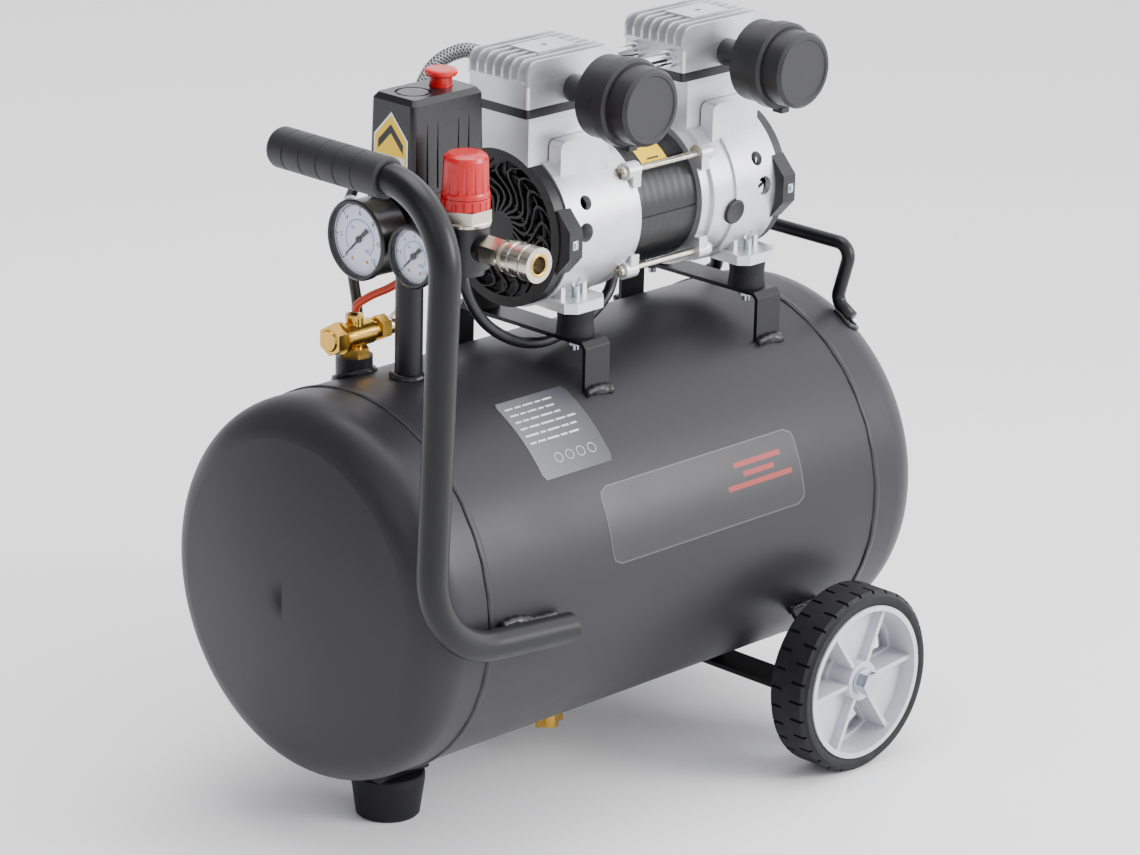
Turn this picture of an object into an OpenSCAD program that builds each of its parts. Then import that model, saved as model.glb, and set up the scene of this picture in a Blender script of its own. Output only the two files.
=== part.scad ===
// Horizontal oil-free air compressor on a portable tank.
// +X runs along the tank towards the wheels, -Y is the regulator side, +Z is up.
// The origin is on the floor, under the middle of the frame.

/* [Tank] */
// Outer radius of the tank
tank_r = 140; // [125:1:170]
// Wall of the tank
tank_wall = 2; // [1.5:0.1:4]
// Length of the rolled barrel between the weld seams
barrel_len = 405; // [380:1:520]
// Straight flange of each pressed head
head_flange = 25; // [15:1:40]
// Knuckle radius of the heads
knuckle_r = 32; // [25:1:45]
// Crown radius of the heads
crown_r = 550; // [400:10:900]
// Gap between the floor and the tank
ground_gap = 49.5; // [44:0.5:60]

/* [Running gear] */
// Radius of the tyres
tyre_r = 70; // [62:1:80]
// Width of the tyres
tyre_w = 36; // [28:1:44]
// Radius of the plastic wheel under the tyre
rim_r = 59; // [52:1:60]
// Radius of the bolt that each wheel turns on
axle_r = 5; // [4:0.5:6]
// Radial clearance between a wheel and its bolt
running_gap = 0.05; // [0.02:0.01:0.1]
// Gap from the side of the tank to the inner face of a wheel
wheel_side_gap = 8; // [6:1:20]
// Distance from the rear seam back to the wheel bolts
wheel_inset = 54.5; // [50:0.5:90]
// Distance from the front seam back to the middle of the foot
foot_inset = 36; // [30:1:60]
// Radius of the rubber foot at the floor
foot_r = 23.5; // [18:0.5:30]
// Width of the wheel bracket
axle_strap_w = 30; // [24:1:40]
// Thickness of the bent brackets
strap_t = 3.5; // [2.5:0.5:5]

/* [Handles] */
// Outer radius of the push handle's tube
handle_r = 11; // [9:0.5:13]
// Wall of the push handle's tube
handle_wall = 1.5; // [1:0.5:2.5]
// Height of the push handle's grip above the floor
grip_z = 515; // [470:1:560]
// Length of the rubber grip
grip_len = 108; // [90:1:120]
// Radius of the rubber grip
grip_r = 14.5; // [13:0.5:17]
// Radius of the carry handle's rod
carry_r = 5.2; // [4:0.2:7]
// Rise of the carry handle above the top of the tank
carry_rise = 36.5; // [30:0.5:60]

/* [Pump] */
// Middle of the pump, measured from the middle of the barrel
pump_x = 60; // [40:1:70]
// Radius of the crankcases
case_r = 60; // [56:1:64]
// Half the length of the pump over its two fan covers
pump_half = 120; // [114:1:130]
// Distance from the pump's middle to each cylinder
cylinder_x = 80; // [76:1:84]
// Radius of each cylinder's bore
bore_r = 24; // [20:0.5:25]
// Stroke of the pistons
stroke = 10; // [6:1:12]
// Radius of the laminated stator
stator_r = 50; // [46:1:52]
// Length of the laminated stator
stator_len = 64; // [56:1:70]
// Radius of the rotor shaft
shaft_r = 6; // [5:0.5:7]
// Height of the rubber mounts
mount_h = 20; // [16:1:30]
// Radius of the rubber mounts
mount_r = 14; // [11:0.5:16]
// Width of the bracket strips under the pump
strip_w = 25; // [22:1:32]
// Gap from the top of the tank to the strips
strip_gap = 15.5; // [12:0.5:24]

/* [Control head] */
// Distance from the front seam to the switch post
post_inset = 52.5; // [40:0.5:70]
// Radius of the switch post
post_r = 10; // [8:0.5:12]
// Height of the gauges above the top of the tank
manifold_rise = 110.5; // [100:0.5:130]
// Distance from the post out to the regulator
regulator_reach = 55; // [52:1:65]
// Radius of the tank gauge
tank_gauge_r = 29; // [25:0.5:32]
// Radius of the outlet gauge
outlet_gauge_r = 22.5; // [20:0.5:24]
// Radius of the coupler's plug bore
coupler_bore_r = 6.25; // [5.5:0.25:7]
// Travel of the switch's push-pull knob
switch_travel = 6; // [4:1:8]
// Travel of the coupler's sleeve
sleeve_travel = 4; // [3:0.5:5]

/* [Hidden] */
$fn = 96;

// Tank
tank_z = ground_gap + tank_r;
tank_top = tank_z + tank_r;
seam_x = barrel_len / 2;
head_depth = crown_r - sqrt(pow(crown_r - knuckle_r, 2) - pow(tank_r - knuckle_r, 2));
tank_end_x = seam_x + head_flange + head_depth;
function tank_surface_z(y) = tank_z + sqrt(tank_r * tank_r - y * y);

// Push handle: a stub along the tank, an upright and a grip across the front
handle_y = -(tank_r + handle_r);
handle_bend_low = 66;
handle_bend_high = 58;
handle_stub_x = -seam_x + 66.5;
handle_corner_x = -seam_x - 70.5;
handle_lean = 2.3;
handle_stub_drop = 5;
handle_corner_z = tank_z + 1;
handle_top_x = handle_corner_x + (grip_z - handle_corner_z) * tan(handle_lean);
handle_stub_z = handle_corner_z - (handle_stub_x - handle_corner_x) * tan(handle_stub_drop);
handle_path = [
    [handle_stub_x, handle_y, handle_stub_z],
    [handle_corner_x, handle_y, handle_corner_z],
    [handle_top_x, handle_y, grip_z],
    [handle_top_x, 10, grip_z]
];
// Middle of the frame's length, which is the origin
frame_left = bend_centre(handle_path[0], handle_path[1], handle_path[2], handle_bend_low)[0]
    - handle_bend_low - handle_r;
x_mid = (frame_left + tank_end_x) / 2;

// Carry handle: its two toes lie on the knuckle of the head, sunk a little in the weld
carry_past_flange = 12;
carry_x = seam_x + head_flange + carry_past_flange;
carry_weld = 0.15;
carry_seat_r = tank_r - knuckle_r
    + sqrt(pow(knuckle_r + carry_r, 2) - pow(carry_past_flange, 2)) - carry_weld;
function carry_seat_z(y) = tank_z + sqrt(carry_seat_r * carry_seat_r - y * y);
carry_toe = 76.5;
carry_waist = 61;
carry_half = 74;
carry_bend = 10;
function carry_side(s) = [
    [0, s * carry_toe, carry_seat_z(carry_toe)],
    [0, s * carry_waist, carry_seat_z(carry_waist) + 1.6],
    [0, s * carry_half, tank_top + carry_rise]
];
carry_path = concat(carry_side(-1), [for (i = [2:-1:0]) carry_side(1)[i]]);

// Running gear
wheel_x = seam_x - wheel_inset;
wheel_inner_y = tank_r + wheel_side_gap;
hub_gap = 0.5;
plate_y = wheel_inner_y - hub_gap - strap_t / 2;
foot_x = -seam_x + foot_inset;
foot_top_z = ground_gap - 16.5;
foot_channel_w = 32;
foot_channel_len = 48;
wheel_bolt_head_t = 7;
wheel_bolt_flange_t = 2.5;
wheel_nut_t = 8;
// The hub stops short of the wheel's outer face, and the bolt's flange bears on it
hub_sink = 4;
bolt_start = plate_y - strap_t / 2;
bolt_seat = wheel_inner_y + tyre_w - hub_sink + hub_gap;

// Pump
strip_top = tank_top + strip_gap + 3;
strip_t = 3;
strip_half = 68;
mount_x = pump_half - 29;
mount_y = 48;
lug_t = 7.5;
lug_drop = 54;
pump_z = strip_top + mount_h + lug_drop;
cover_depth = 10;
cover_r = case_r - 1.7;
case_front = pump_half - cover_depth;
case_back = stator_len / 2;
case_wall = 5;
crank_wall_x = 91;
motor_wall_x = 54;
rod_y = 47.5;
rod_z = 37;
rod_r = 2.5;
rod_head_r = 4.6;
rod_seat = 12;
eccentric_throw = stroke / 2;
eccentric_r = shaft_r + eccentric_throw + 0.5;
big_end_r = eccentric_r + stroke + 0.5;
big_end_wall = 4;
big_end_w = 9;
deck_z = 86;
plate_t = 7;
head_wall_h = 18.5;
head_top_z = 127;
head_long = 91.5;
head_wide = 60;
neck_long = 84;
liner_wall = 2.5;
liner_len = 38;
piston_t = 8;
pipe_y = 17;
filter_z = deck_z + plate_t + head_wall_h / 2;
filter_back_y = -61;
filter_cup_len = 17;
filter_cup_r = 30;
filter_rim_r = 32;
filter_rim_len = 12;
filter_cap_r = 28;
filter_cap_len = 17.5;
filter_gap = 0.3;

// Control head
post_x = -seam_x + post_inset;
manifold_z = tank_top + manifold_rise;
post_len = manifold_rise - 15;
block_r = 14;
gauge_face = 53;
regulator_body_r = 18.5;
switch_dx = 15.5;
switch_floor = 17;
switch_base_h = 11;
switch_cover_h = 69;
switch_len = 70;
switch_wide = 46;
knob_dx = switch_dx + 12.8;
dial_recess = 6;

// Round helpers: cylinders along each axis, from one coordinate to another
module along_x(r, x0, x1) translate([x0, 0, 0]) rotate([0, 90, 0]) cylinder(r = r, h = x1 - x0);
module along_y(r, y0, y1) translate([0, y0, 0]) rotate([-90, 0, 0]) cylinder(r = r, h = y1 - y0);
module along_z(r, z0, z1) translate([0, 0, z0]) cylinder(r = r, h = z1 - z0);

// A tube along straight runs with one bend radius for each corner
function unit(v) = v / norm(v);
function bend_half(a, b) = acos(min(1, max(-1, a * b))) / 2;
function bend_centre(p, q, s, r) =
    let (a = unit(q - p), b = unit(s - q), w = unit(cross(a, b)), n = cross(w, a))
    q - a * r * tan(bend_half(a, b)) + n * r;
module run(p, q, r) {
    d = q - p;
    translate(p) rotate([0, acos(d[2] / norm(d)), atan2(d[1], d[0])]) cylinder(r = r, h = norm(d));
}
// Points round a bend, from the end of one straight run to the start of the next
function bend_points(p, q, s, r, steps) = let (
    a = unit(q - p),
    n = cross(unit(cross(a, unit(s - q))), a),
    turn = 2 * bend_half(a, unit(s - q))
) [for (i = [0:steps]) bend_centre(p, q, s, r) + r * (a * sin(turn * i / steps) - n * cos(turn * i / steps))];
// The middle line of a rod or tube, with a bend of its own radius at each inner corner of its path
function bent_line(path, radii, steps) = concat(
    [path[0]],
    [for (i = [1:len(path) - 2]) each bend_points(path[i - 1], path[i], path[i + 1], radii[i - 1], steps)],
    [path[len(path) - 1]]
);

// A flat strip of sheet, drawn on edge along its middle line
module strip_outline(path, t) {
    for (i = [1:len(path) - 1]) {
        d = path[i] - path[i - 1];
        translate(path[i - 1]) rotate(atan2(d[1], d[0])) translate([0, -t / 2]) square([norm(d), t]);
    }
    if (len(path) > 2) for (i = [1:len(path) - 2]) translate(path[i]) circle(d = t);
}
// Turns an outline drawn in (y, z) into a strip of width w along X
module across_x(w) rotate([90, 0, 90]) translate([0, 0, -w / 2]) linear_extrude(w) children();

module rounded_slab(x, y, z, r) {
    linear_extrude(z) {
        square([x - 2 * r, y], center = true);
        square([x, y - 2 * r], center = true);
        for (sx = [-1, 1], sy = [-1, 1]) translate([sx * (x / 2 - r), sy * (y / 2 - r)]) circle(r = r);
    }
}
module hex(across_flats, h) cylinder(r = across_flats / sqrt(3), h = h, $fn = 6);

// Places in the frame
module on_frame() translate([-x_mid, 0, 0]) children();
module on_pump() translate([pump_x - x_mid, 0, pump_z]) children();
module on_post() translate([post_x - x_mid, 0, manifold_z]) children();
module on_regulator() on_post() translate([0, -regulator_reach, 0]) children();
module both_ends() {
    children();
    mirror([1, 0, 0]) children();
}
module both_sides() {
    children();
    mirror([0, 1, 0]) children();
}

// ---- Tank ----

module head_outline(t) {
    crown_centre = head_depth - crown_r;
    tangent = asin((tank_r - knuckle_r) / (crown_r - knuckle_r));
    intersection() {
        translate([0, crown_centre]) circle(r = crown_r - t);
        polygon([[0, crown_centre], [0, head_depth + 1], [(head_depth + 1 - crown_centre) * tan(tangent),
            head_depth + 1]]);
        square([tank_r, head_depth + 1]);
    }
    intersection() {
        translate([tank_r - knuckle_r, 0]) circle(r = knuckle_r - t);
        square([tank_r, knuckle_r]);
    }
    square([tank_r - knuckle_r, knuckle_r - t - 6]);
    translate([0, -head_flange]) square([tank_r - t, head_flange]);
}
module tank_head() rotate([0, 90, 0]) translate([0, 0, head_flange]) rotate_extrude() difference() {
    head_outline(0);
    head_outline(tank_wall);
    translate([-1, -head_flange - 1]) square([1, head_flange + head_depth + 2]);
}
module tank_barrel() color("#3c3b40") on_frame() translate([0, 0, tank_z]) difference() {
    along_x(tank_r, -seam_x, seam_x);
    along_x(tank_r - tank_wall, -seam_x - 1, seam_x + 1);
    translate([post_x, 0, 0]) along_z(post_r - 3, 0, tank_r + 5);
    translate([bung_x, bung_y, 0]) along_z(bung_hole_r, 0, tank_r + 5);
    translate([0, 0, -tank_r - 5]) cylinder(r = drain_hole_r, h = 20);
}
module tank_heads() color("#3c3b40") on_frame() translate([0, 0, tank_z]) both_ends()
    translate([seam_x, 0, 0]) tank_head();

bung_x = post_x - 6;
bung_y = 50;
bung_r = 13.5;
bung_hole_r = 8;
bung_top = tank_surface_z(bung_y) + 15;
drain_hole_r = 6;
drain_bung_r = 12;
drain_bung_h = 8;
module tank_bungs() color("#2c2c2f") on_frame() {
    difference() {
        translate([bung_x, bung_y, 0]) along_z(bung_r, tank_z, bung_top);
        translate([bung_x, bung_y, 0]) along_z(bung_hole_r, tank_z - 1, bung_top + 1);
        translate([0, 0, tank_z]) along_x(tank_r, -seam_x, seam_x);
    }
    difference() {
        along_z(drain_bung_r, ground_gap - drain_bung_h + 2, tank_z);
        along_z(drain_hole_r, 0, tank_z + 1);
        translate([0, 0, tank_z]) along_x(tank_r, -seam_x, seam_x);
    }
}

// ---- Foot, axle bracket and wheels ----

module foot_bracket() color("#333236") on_frame() translate([foot_x, 0, 0]) difference() {
    across_x(foot_channel_len) strip_outline([
        [-foot_channel_w / 2 - 3, tank_z - tank_r + 12],
        [-foot_channel_w / 2, foot_top_z + strap_t / 2],
        [foot_channel_w / 2, foot_top_z + strap_t / 2],
        [foot_channel_w / 2 + 3, tank_z - tank_r + 12]
    ], strap_t);
    translate([-50, 0, tank_z]) along_x(tank_r, 0, 100);
    along_z(4.2, 0, foot_top_z + 10);
}
foot_straight = 6;
module rubber_foot() color("#1f1f22") on_frame() translate([foot_x, 0, 0]) difference() {
    rotate_extrude() polygon([
        [0, 0], [foot_r - 1.5, 0], [foot_r, 1.5], [foot_r + 3.5, foot_top_z - foot_straight],
        [foot_r + 3.5, foot_top_z - 1], [foot_r + 2.5, foot_top_z], [0, foot_top_z]
    ]);
    along_z(4.2, -1, foot_top_z + 1);
    along_z(10, -1, 12);
}

strap_z = ground_gap - strap_t / 2;
leg_top_y = tank_r * 0.845;
leg_top_z = tank_z - sqrt(tank_r * tank_r - leg_top_y * leg_top_y);
module axle_bracket() color("#333236") on_frame() translate([wheel_x, 0, 0]) difference() {
    across_x(axle_strap_w) strip_outline([
        [-leg_top_y, leg_top_z], [-plate_y, tyre_r + 17], [-plate_y, strap_z],
        [plate_y, strap_z], [plate_y, tyre_r + 17], [leg_top_y, leg_top_z]
    ], strap_t);
    translate([-50, 0, tank_z]) along_x(tank_r, 0, 100);
    translate([0, 0, tyre_r]) along_y(axle_r + 0.2, -wheel_inner_y - 5, wheel_inner_y + 5);
}
module wheel_bolts() color("#c9ccd0") on_frame() both_sides()
    translate([wheel_x, 0, tyre_r]) rotate([90, 0, 0]) {
    along_z(axle_r, bolt_start - wheel_nut_t - 4, bolt_seat);
    along_z(10.5, bolt_seat, bolt_seat + wheel_bolt_flange_t);
    translate([0, 0, bolt_seat + wheel_bolt_flange_t]) hex(16, wheel_bolt_head_t);
    translate([0, 0, bolt_start - wheel_nut_t]) hex(16, wheel_nut_t);
}

// The plastic wheel: rim, hub, six ribs, three open windows and three sunk panels
rim_t = 4;
hub_r = 15;
web_y0 = 8;
web_y1 = 22;
module sector_outline(r0, r1, a0, a1) intersection() {
    difference() {
        circle(r = r1);
        circle(r = r0);
    }
    polygon([
        [0, 0],
        [2 * r1 * cos(a0), 2 * r1 * sin(a0)],
        [2.2 * r1 * cos((a0 + a1) / 2), 2.2 * r1 * sin((a0 + a1) / 2)],
        [2 * r1 * cos(a1), 2 * r1 * sin(a1)]
    ]);
}
module wheel_solid() {
    rim_in = rim_r - rim_t;
    difference() {
        union() {
            difference() {
                cylinder(r = rim_r, h = tyre_w);
                translate([0, 0, -1]) cylinder(r = rim_in, h = tyre_w + 2);
            }
            cylinder(r = hub_r, h = tyre_w - hub_sink);
            for (i = [0:5]) rotate(60 * i + 5) translate([hub_r - 2, -1.7, 4]) {
                cube([rim_in - hub_r + 3, 3.4, tyre_w - 9]);
            }
            translate([0, 0, web_y0]) linear_extrude(4) difference() {
                circle(r = rim_in + 1);
                circle(r = hub_r - 1);
                for (i = [0:2]) rotate(120 * i + 5) sector_outline(hub_r + 3.5, rim_in - 3, 4, 56);
            }
            translate([0, 0, web_y1 - 2]) linear_extrude(3) for (i = [0:2]) rotate(120 * i + 65)
                sector_outline(hub_r - 1, rim_in + 1, 0, 60);
        }
        translate([0, 0, -1]) cylinder(r = axle_r + running_gap, h = tyre_w + 2);
    }
}
tread_depth = 2.5;
tread_pitches = 30;
module tyre_solid() {
    difference() {
        rotate_extrude() polygon([
            [rim_r, 1.5], [rim_r + 4, 0], [tyre_r - 4, 0], [tyre_r - tread_depth, 2], [tyre_r, 4],
            [tyre_r, tyre_w - 4], [tyre_r - tread_depth, tyre_w - 2], [tyre_r - 4, tyre_w],
            [rim_r + 4, tyre_w], [rim_r, tyre_w - 1.5]
        ]);
        for (i = [0:tread_pitches - 1]) rotate((i + 0.5) * 360 / tread_pitches) {
            translate([tyre_r - tread_depth + 0.4, -1.1, -1]) cube([10, 2.2, tyre_w / 2 - 3]);
            rotate(180 / tread_pitches) translate([tyre_r - tread_depth + 0.4, -1.1, tyre_w / 2 + 4])
                cube([10, 2.2, tyre_w / 2]);
        }
    }
}
module wheel_place(side) translate([wheel_x - x_mid, side * wheel_inner_y, tyre_r])
    rotate([side > 0 ? -90 : 90, 0, 0]) children();
module wheel_right() color("#d6d6da") wheel_place(-1) wheel_solid();
module wheel_left() color("#d6d6da") wheel_place(1) wheel_solid();
module tyre_right() color("#232325") wheel_place(-1) tyre_solid();
module tyre_left() color("#232325") wheel_place(1) tyre_solid();

// ---- Handles ----

module push_handle() color("#2f2f33") on_frame() {
    line = bent_line(handle_path, [handle_bend_low, handle_bend_high], 14);
    tube(line, handle_r, handle_wall, 28, [0, 1, 0]);
    // plug in the open end of the stub
    stub = unit(handle_path[1] - handle_path[0]);
    run(handle_path[0] + 0.5 * stub, handle_path[0] + 8 * stub, handle_r - handle_wall - 0.15);
}
grip_grooves = 5;
module handle_grip() color("#262628") on_frame()
    translate([handle_top_x, 10 + 4, grip_z]) rotate([90, 0, 0]) difference() {
    rotate_extrude() polygon([
        [0, 0], [grip_r - 3, 0], [grip_r - 0.9, 0.9], [grip_r, 3], [grip_r, grip_len - 1.5],
        [grip_r - 1.5, grip_len], [0, grip_len]
    ]);
    translate([0, 0, 4]) cylinder(r = handle_r, h = grip_len);
    for (i = [1:grip_grooves]) translate([0, 0, i * 17]) rotate_extrude() translate([grip_r, 0])
        circle(r = 0.9, $fn = 24);
}

module carry_handle() color("#2f2f33") on_frame() translate([carry_x, 0, 0])
    sweep(bent_line(carry_path, [carry_bend, carry_bend, carry_bend, carry_bend], 8), carry_r, 16, [1, 0, 0]);

// ---- Pump mounting ----

strip_leg_y = strip_half + strip_t / 2;
module pump_brackets() color("#333236") on_frame() for (side = [-1, 1])
    translate([pump_x + side * mount_x, 0, 0]) difference() {
        across_x(strip_w) strip_outline([
            [-strip_leg_y, tank_z + 40], [-strip_leg_y, strip_top - 5],
            [-strip_leg_y + 3.5, strip_top - strip_t / 2], [strip_leg_y - 3.5, strip_top - strip_t / 2],
            [strip_leg_y, strip_top - 5], [strip_leg_y, tank_z + 40]
        ], strip_t);
        translate([-50, 0, tank_z]) along_x(tank_r, 0, 100);
        for (y = [-mount_y, mount_y]) translate([0, y, 0]) along_z(3.2, strip_top - 10, strip_top + 5);
    }
module at_mounts() for (x = [-mount_x, mount_x], y = [-mount_y, mount_y])
    translate([pump_x - x_mid + x, y, strip_top]) children();
module mount_rubbers() color("#1d1d20") at_mounts() difference() {
    rotate_extrude() polygon([
        [0, 0], [mount_r, 0], [mount_r - 1, mount_h / 2], [mount_r, mount_h], [0, mount_h]
    ]);
    translate([0, 0, -1]) cylinder(r = 3, h = mount_h + 2);
}
foot_bolt_r = 4;
module mount_bolts() color("#b9bbbe") {
    at_mounts() {
        along_z(3, -12, mount_h + lug_t + 8);
        translate([0, 0, -strip_t - 5]) hex(10, 5);
    }
    on_frame() translate([foot_x, 0, 0]) {
        translate([0, 0, 6]) hex(13, 6);
        along_z(foot_bolt_r, 12, foot_top_z + strap_t + 7);
        translate([0, 0, foot_top_z + strap_t]) hex(13, 6);
    }
}

// ---- Pump ----

module case_barrel() {
    along_x(case_r, -case_front, -64);
    along_x(case_r - 2, -64, -case_back - 10);
    along_x(stator_r + 5, -case_back - 10, -case_back);
    // neck and side panels under the cylinder
    translate([-cylinder_x - 1, 0, 0]) {
        translate([-neck_long / 2, -head_wide / 2 + 1, 20]) cube([neck_long - 2, head_wide - 2, deck_z - 20]);
        for (s = [-1, 1]) translate([0, s * 36, 0]) rotate([90, 0, 0]) translate([2, 0, -6])
            linear_extrude(12) {
                translate([-24, 10]) square([48, 52]);
                translate([-18, 60]) square([36, 8]);
                for (c = [-18, 18]) translate([c, 62]) circle(r = 6);
            }
    }
    // cast ears of the tie rods
    for (y = [-rod_y, rod_y], z = [-rod_z, rod_z]) translate([0, y, z])
        along_x(6.5, -case_back - rod_seat, -case_back);
    for (s = [-1, 1]) translate([-case_back - 8, s * rod_y, 0]) rotate([90, 0, 90])
        linear_extrude(8) difference() {
            translate([-6, -rod_z]) square([12, 2 * rod_z]);
            circle(r = 26);
        }
    // feet
    both_sides() translate([-mount_x, -mount_y, -lug_drop]) linear_extrude(lug_t)
        polygon([[-18, 34], [18, 34], [20, 10], [20, -8], [13, -15], [-13, -15], [-20, -8], [-20, 10]]);
    both_sides() for (x = [-13, 9]) translate([-mount_x + x, -mount_y + 2, -lug_drop + 1]) cube([4, 26, 22]);
}
module crankcase() difference() {
    case_barrel();
    along_x(case_r - case_wall, -pump_half - 1, -crank_wall_x);
    along_x(case_r - case_wall - 1, -crank_wall_x + 4, -motor_wall_x - 6);
    along_x(stator_r - 3, -motor_wall_x, -case_back + 1);
    along_x(16, -pump_half, 0);
    along_x(cover_r + 0.1, -pump_half - 5, -case_front);
    translate([-cylinder_x, 0, 0]) along_z(bore_r + liner_wall, 30, deck_z + 1);
    for (y = [-rod_y, rod_y], z = [-rod_z, rod_z]) translate([0, y, z]) {
        along_x(rod_r + 0.2, -case_back - 20, 0);
        along_x(rod_head_r + 0.4, -case_back - 17, -case_back - rod_seat);
    }
    for (y = [-mount_y, mount_y]) translate([-mount_x, y, -lug_drop - 1]) cylinder(r = 3.2, h = 40);
    translate([-94, 0, 4]) along_y(7, -case_r - 5, -40);
    translate([-90, 0, 0]) rotate([-24, 0, 0]) along_y(5.5, -case_r - 5, -40);
}
module crankcases() color("#b4b5b8") on_pump() both_ends() crankcase();
module cylinder_liners() color("#9a9ca0") on_pump() both_ends() translate([-cylinder_x, 0, 0]) difference() {
    along_z(bore_r + liner_wall, deck_z - liner_len, deck_z);
    along_z(bore_r, 0, deck_z + 1);
}
module bearings() color("#8d9096") on_pump() both_ends() for (x = [-crank_wall_x - 4, -motor_wall_x - 7])
    difference() {
        along_x(16, x, x + 10);
        along_x(shaft_r + running_gap, x - 1, x + 11);
    }

// Fan cover with curved ribs
rib_count = 22;
function rib_angle(r) = 17 * sin(360 * (r - 12) / 40);
module curved_rib() {
    steps = [for (r = [11:4:51]) r];
    polygon(concat(
        [for (r = steps) r * [cos(rib_angle(r) - 66 / r), sin(rib_angle(r) - 66 / r)]],
        [for (i = [len(steps) - 1:-1:0]) let (r = steps[i])
            r * [cos(rib_angle(r) + 66 / r), sin(rib_angle(r) + 66 / r)]]
    ));
}
module hoop(r0, r1) difference() {
    circle(r = r1);
    circle(r = r0);
}
module fan_cover() {
    face = -pump_half;
    translate([face, 0, 0]) rotate([90, 0, 90]) {
        linear_extrude(3) {
            for (i = [0:rib_count - 1]) rotate(i * 360 / rib_count) curved_rib();
            circle(r = 12);
            hoop(50.5, cover_r);
        }
        translate([0, 0, 2.5]) linear_extrude(2) {
            for (r = [20, 30, 40]) hoop(r, r + 1.6);
            hoop(50.5, cover_r);
            for (a = [0, 90, 180, 270]) rotate(a) translate([0, -1.5]) square([52, 3]);
        }
        linear_extrude(cover_depth) hoop(cover_r - 2.8, cover_r);
    }
    both_sides() difference() {
        translate([face + 1, 0, 0]) rotate([90, 0, 90]) linear_extrude(cover_depth + 3)
            polygon([[-case_r + 5, 24], [-case_r - 8, 10], [-case_r - 8, -10], [-case_r + 5, -24]]);
        along_x(case_r - 2, face, face + 2 * cover_depth);
        translate([face, 0, 0]) along_x(case_r + 0.1, cover_depth, 3 * cover_depth);
        translate([face + 4, -case_r - 12, -3]) cube([5, 20, 6]);
    }
}
module fan_covers() color("#1b1b1e") on_pump() both_ends() fan_cover();

module stator() color("#1c1d20") on_pump() difference() {
    along_x(stator_r, -case_back, case_back);
    along_x(rotor_r + 0.4, -case_back - 1, case_back + 1);
    for (a = [0:45:315]) rotate([a, 0, 0]) translate([-case_back - 1, stator_r - 1, -1])
        cube([2 * case_back + 2, 3, 2]);
}
module tie_rods() color("#c4c2b2") on_pump()
    for (y = [-rod_y, rod_y], z = [-rod_z, rod_z]) translate([0, y, z]) {
    difference() {
        union() {
            along_x(rod_r, -case_back - rod_seat, case_back + 14);
            along_x(rod_head_r, -case_back - rod_seat - 3.5, -case_back - rod_seat);
        }
        translate([-case_back - 16, -0.7, -3]) cube([2.2, 1.4, 6]);
        translate([-case_back - 16, -3, -0.7]) cube([2.2, 6, 1.4]);
    }
    difference() {
        translate([case_back + rod_seat, 0, 0]) rotate([0, 90, 0]) hex(8, 4);
        along_x(rod_r, 0, case_back + 20);
    }
}

module valve_plates() color("#151518") on_pump() both_ends()
    translate([-cylinder_x, 0, deck_z]) rounded_slab(head_long - 1, head_wide - 1, plate_t, 3);
fin_count = 8;
fin_t = 2.2;
module head_casting() translate([-cylinder_x, 0, deck_z + plate_t]) {
    fin_h = head_top_z - deck_z - plate_t;
    difference() {
        rounded_slab(head_long, head_wide, head_wall_h, 3);
        translate([0, 0, -1]) rounded_slab(head_long - 26, head_wide - 16, head_wall_h - 6, 4);
        translate([0, 0, head_wall_h / 2]) along_y(7, -head_wide, -head_wide / 2 + 10);
        for (s = [-1, 1]) translate([0, s * pipe_y, head_wall_h / 2]) along_x(4.5, 30, head_long);
        translate([0, 0, head_wall_h / 2]) along_y(5, 20, head_wide);
    }
    // long fins with rounded ends
    fin_pitch = (head_wide - fin_t - 0.2) / (fin_count - 1);
    for (i = [0:fin_count - 1]) translate([0, (i - (fin_count - 1) / 2) * fin_pitch, 0])
        rotate([90, 0, 0]) translate([0, 0, -fin_t / 2]) linear_extrude(fin_t) {
            translate([-head_long / 2, head_wall_h - 2]) square([head_long, fin_h - head_wall_h - 8]);
            translate([-head_long / 2 + 10, head_wall_h - 2])
                square([head_long - 20, fin_h - head_wall_h + 2]);
            for (s = [-1, 1]) translate([s * (head_long / 2 - 10), fin_h - 10]) circle(r = 10);
        }
    // screw pad in the middle of the fins
    difference() {
        translate([-20, -14, head_wall_h - 2]) cube([40, 28, fin_h - head_wall_h + 3]);
        along_z(2.6, fin_h - 6, fin_h + 5);
    }
}
module cylinder_heads() color("#bcbdc0") on_pump() both_ends() head_casting();
module transfer_pipes() color("#d5d7da") on_pump() for (s = [-1, 1]) translate([0, s * pipe_y, filter_z]) {
    reach = cylinder_x - head_long / 2;
    along_x(4.5, -reach - 6, reach + 6);
    for (e = [-1, 1]) difference() {
        along_x(6.8, e > 0 ? reach - 5 : -reach, e > 0 ? reach : -reach + 5);
        along_x(4.5, -reach - 10, reach + 10);
    }
}

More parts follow.
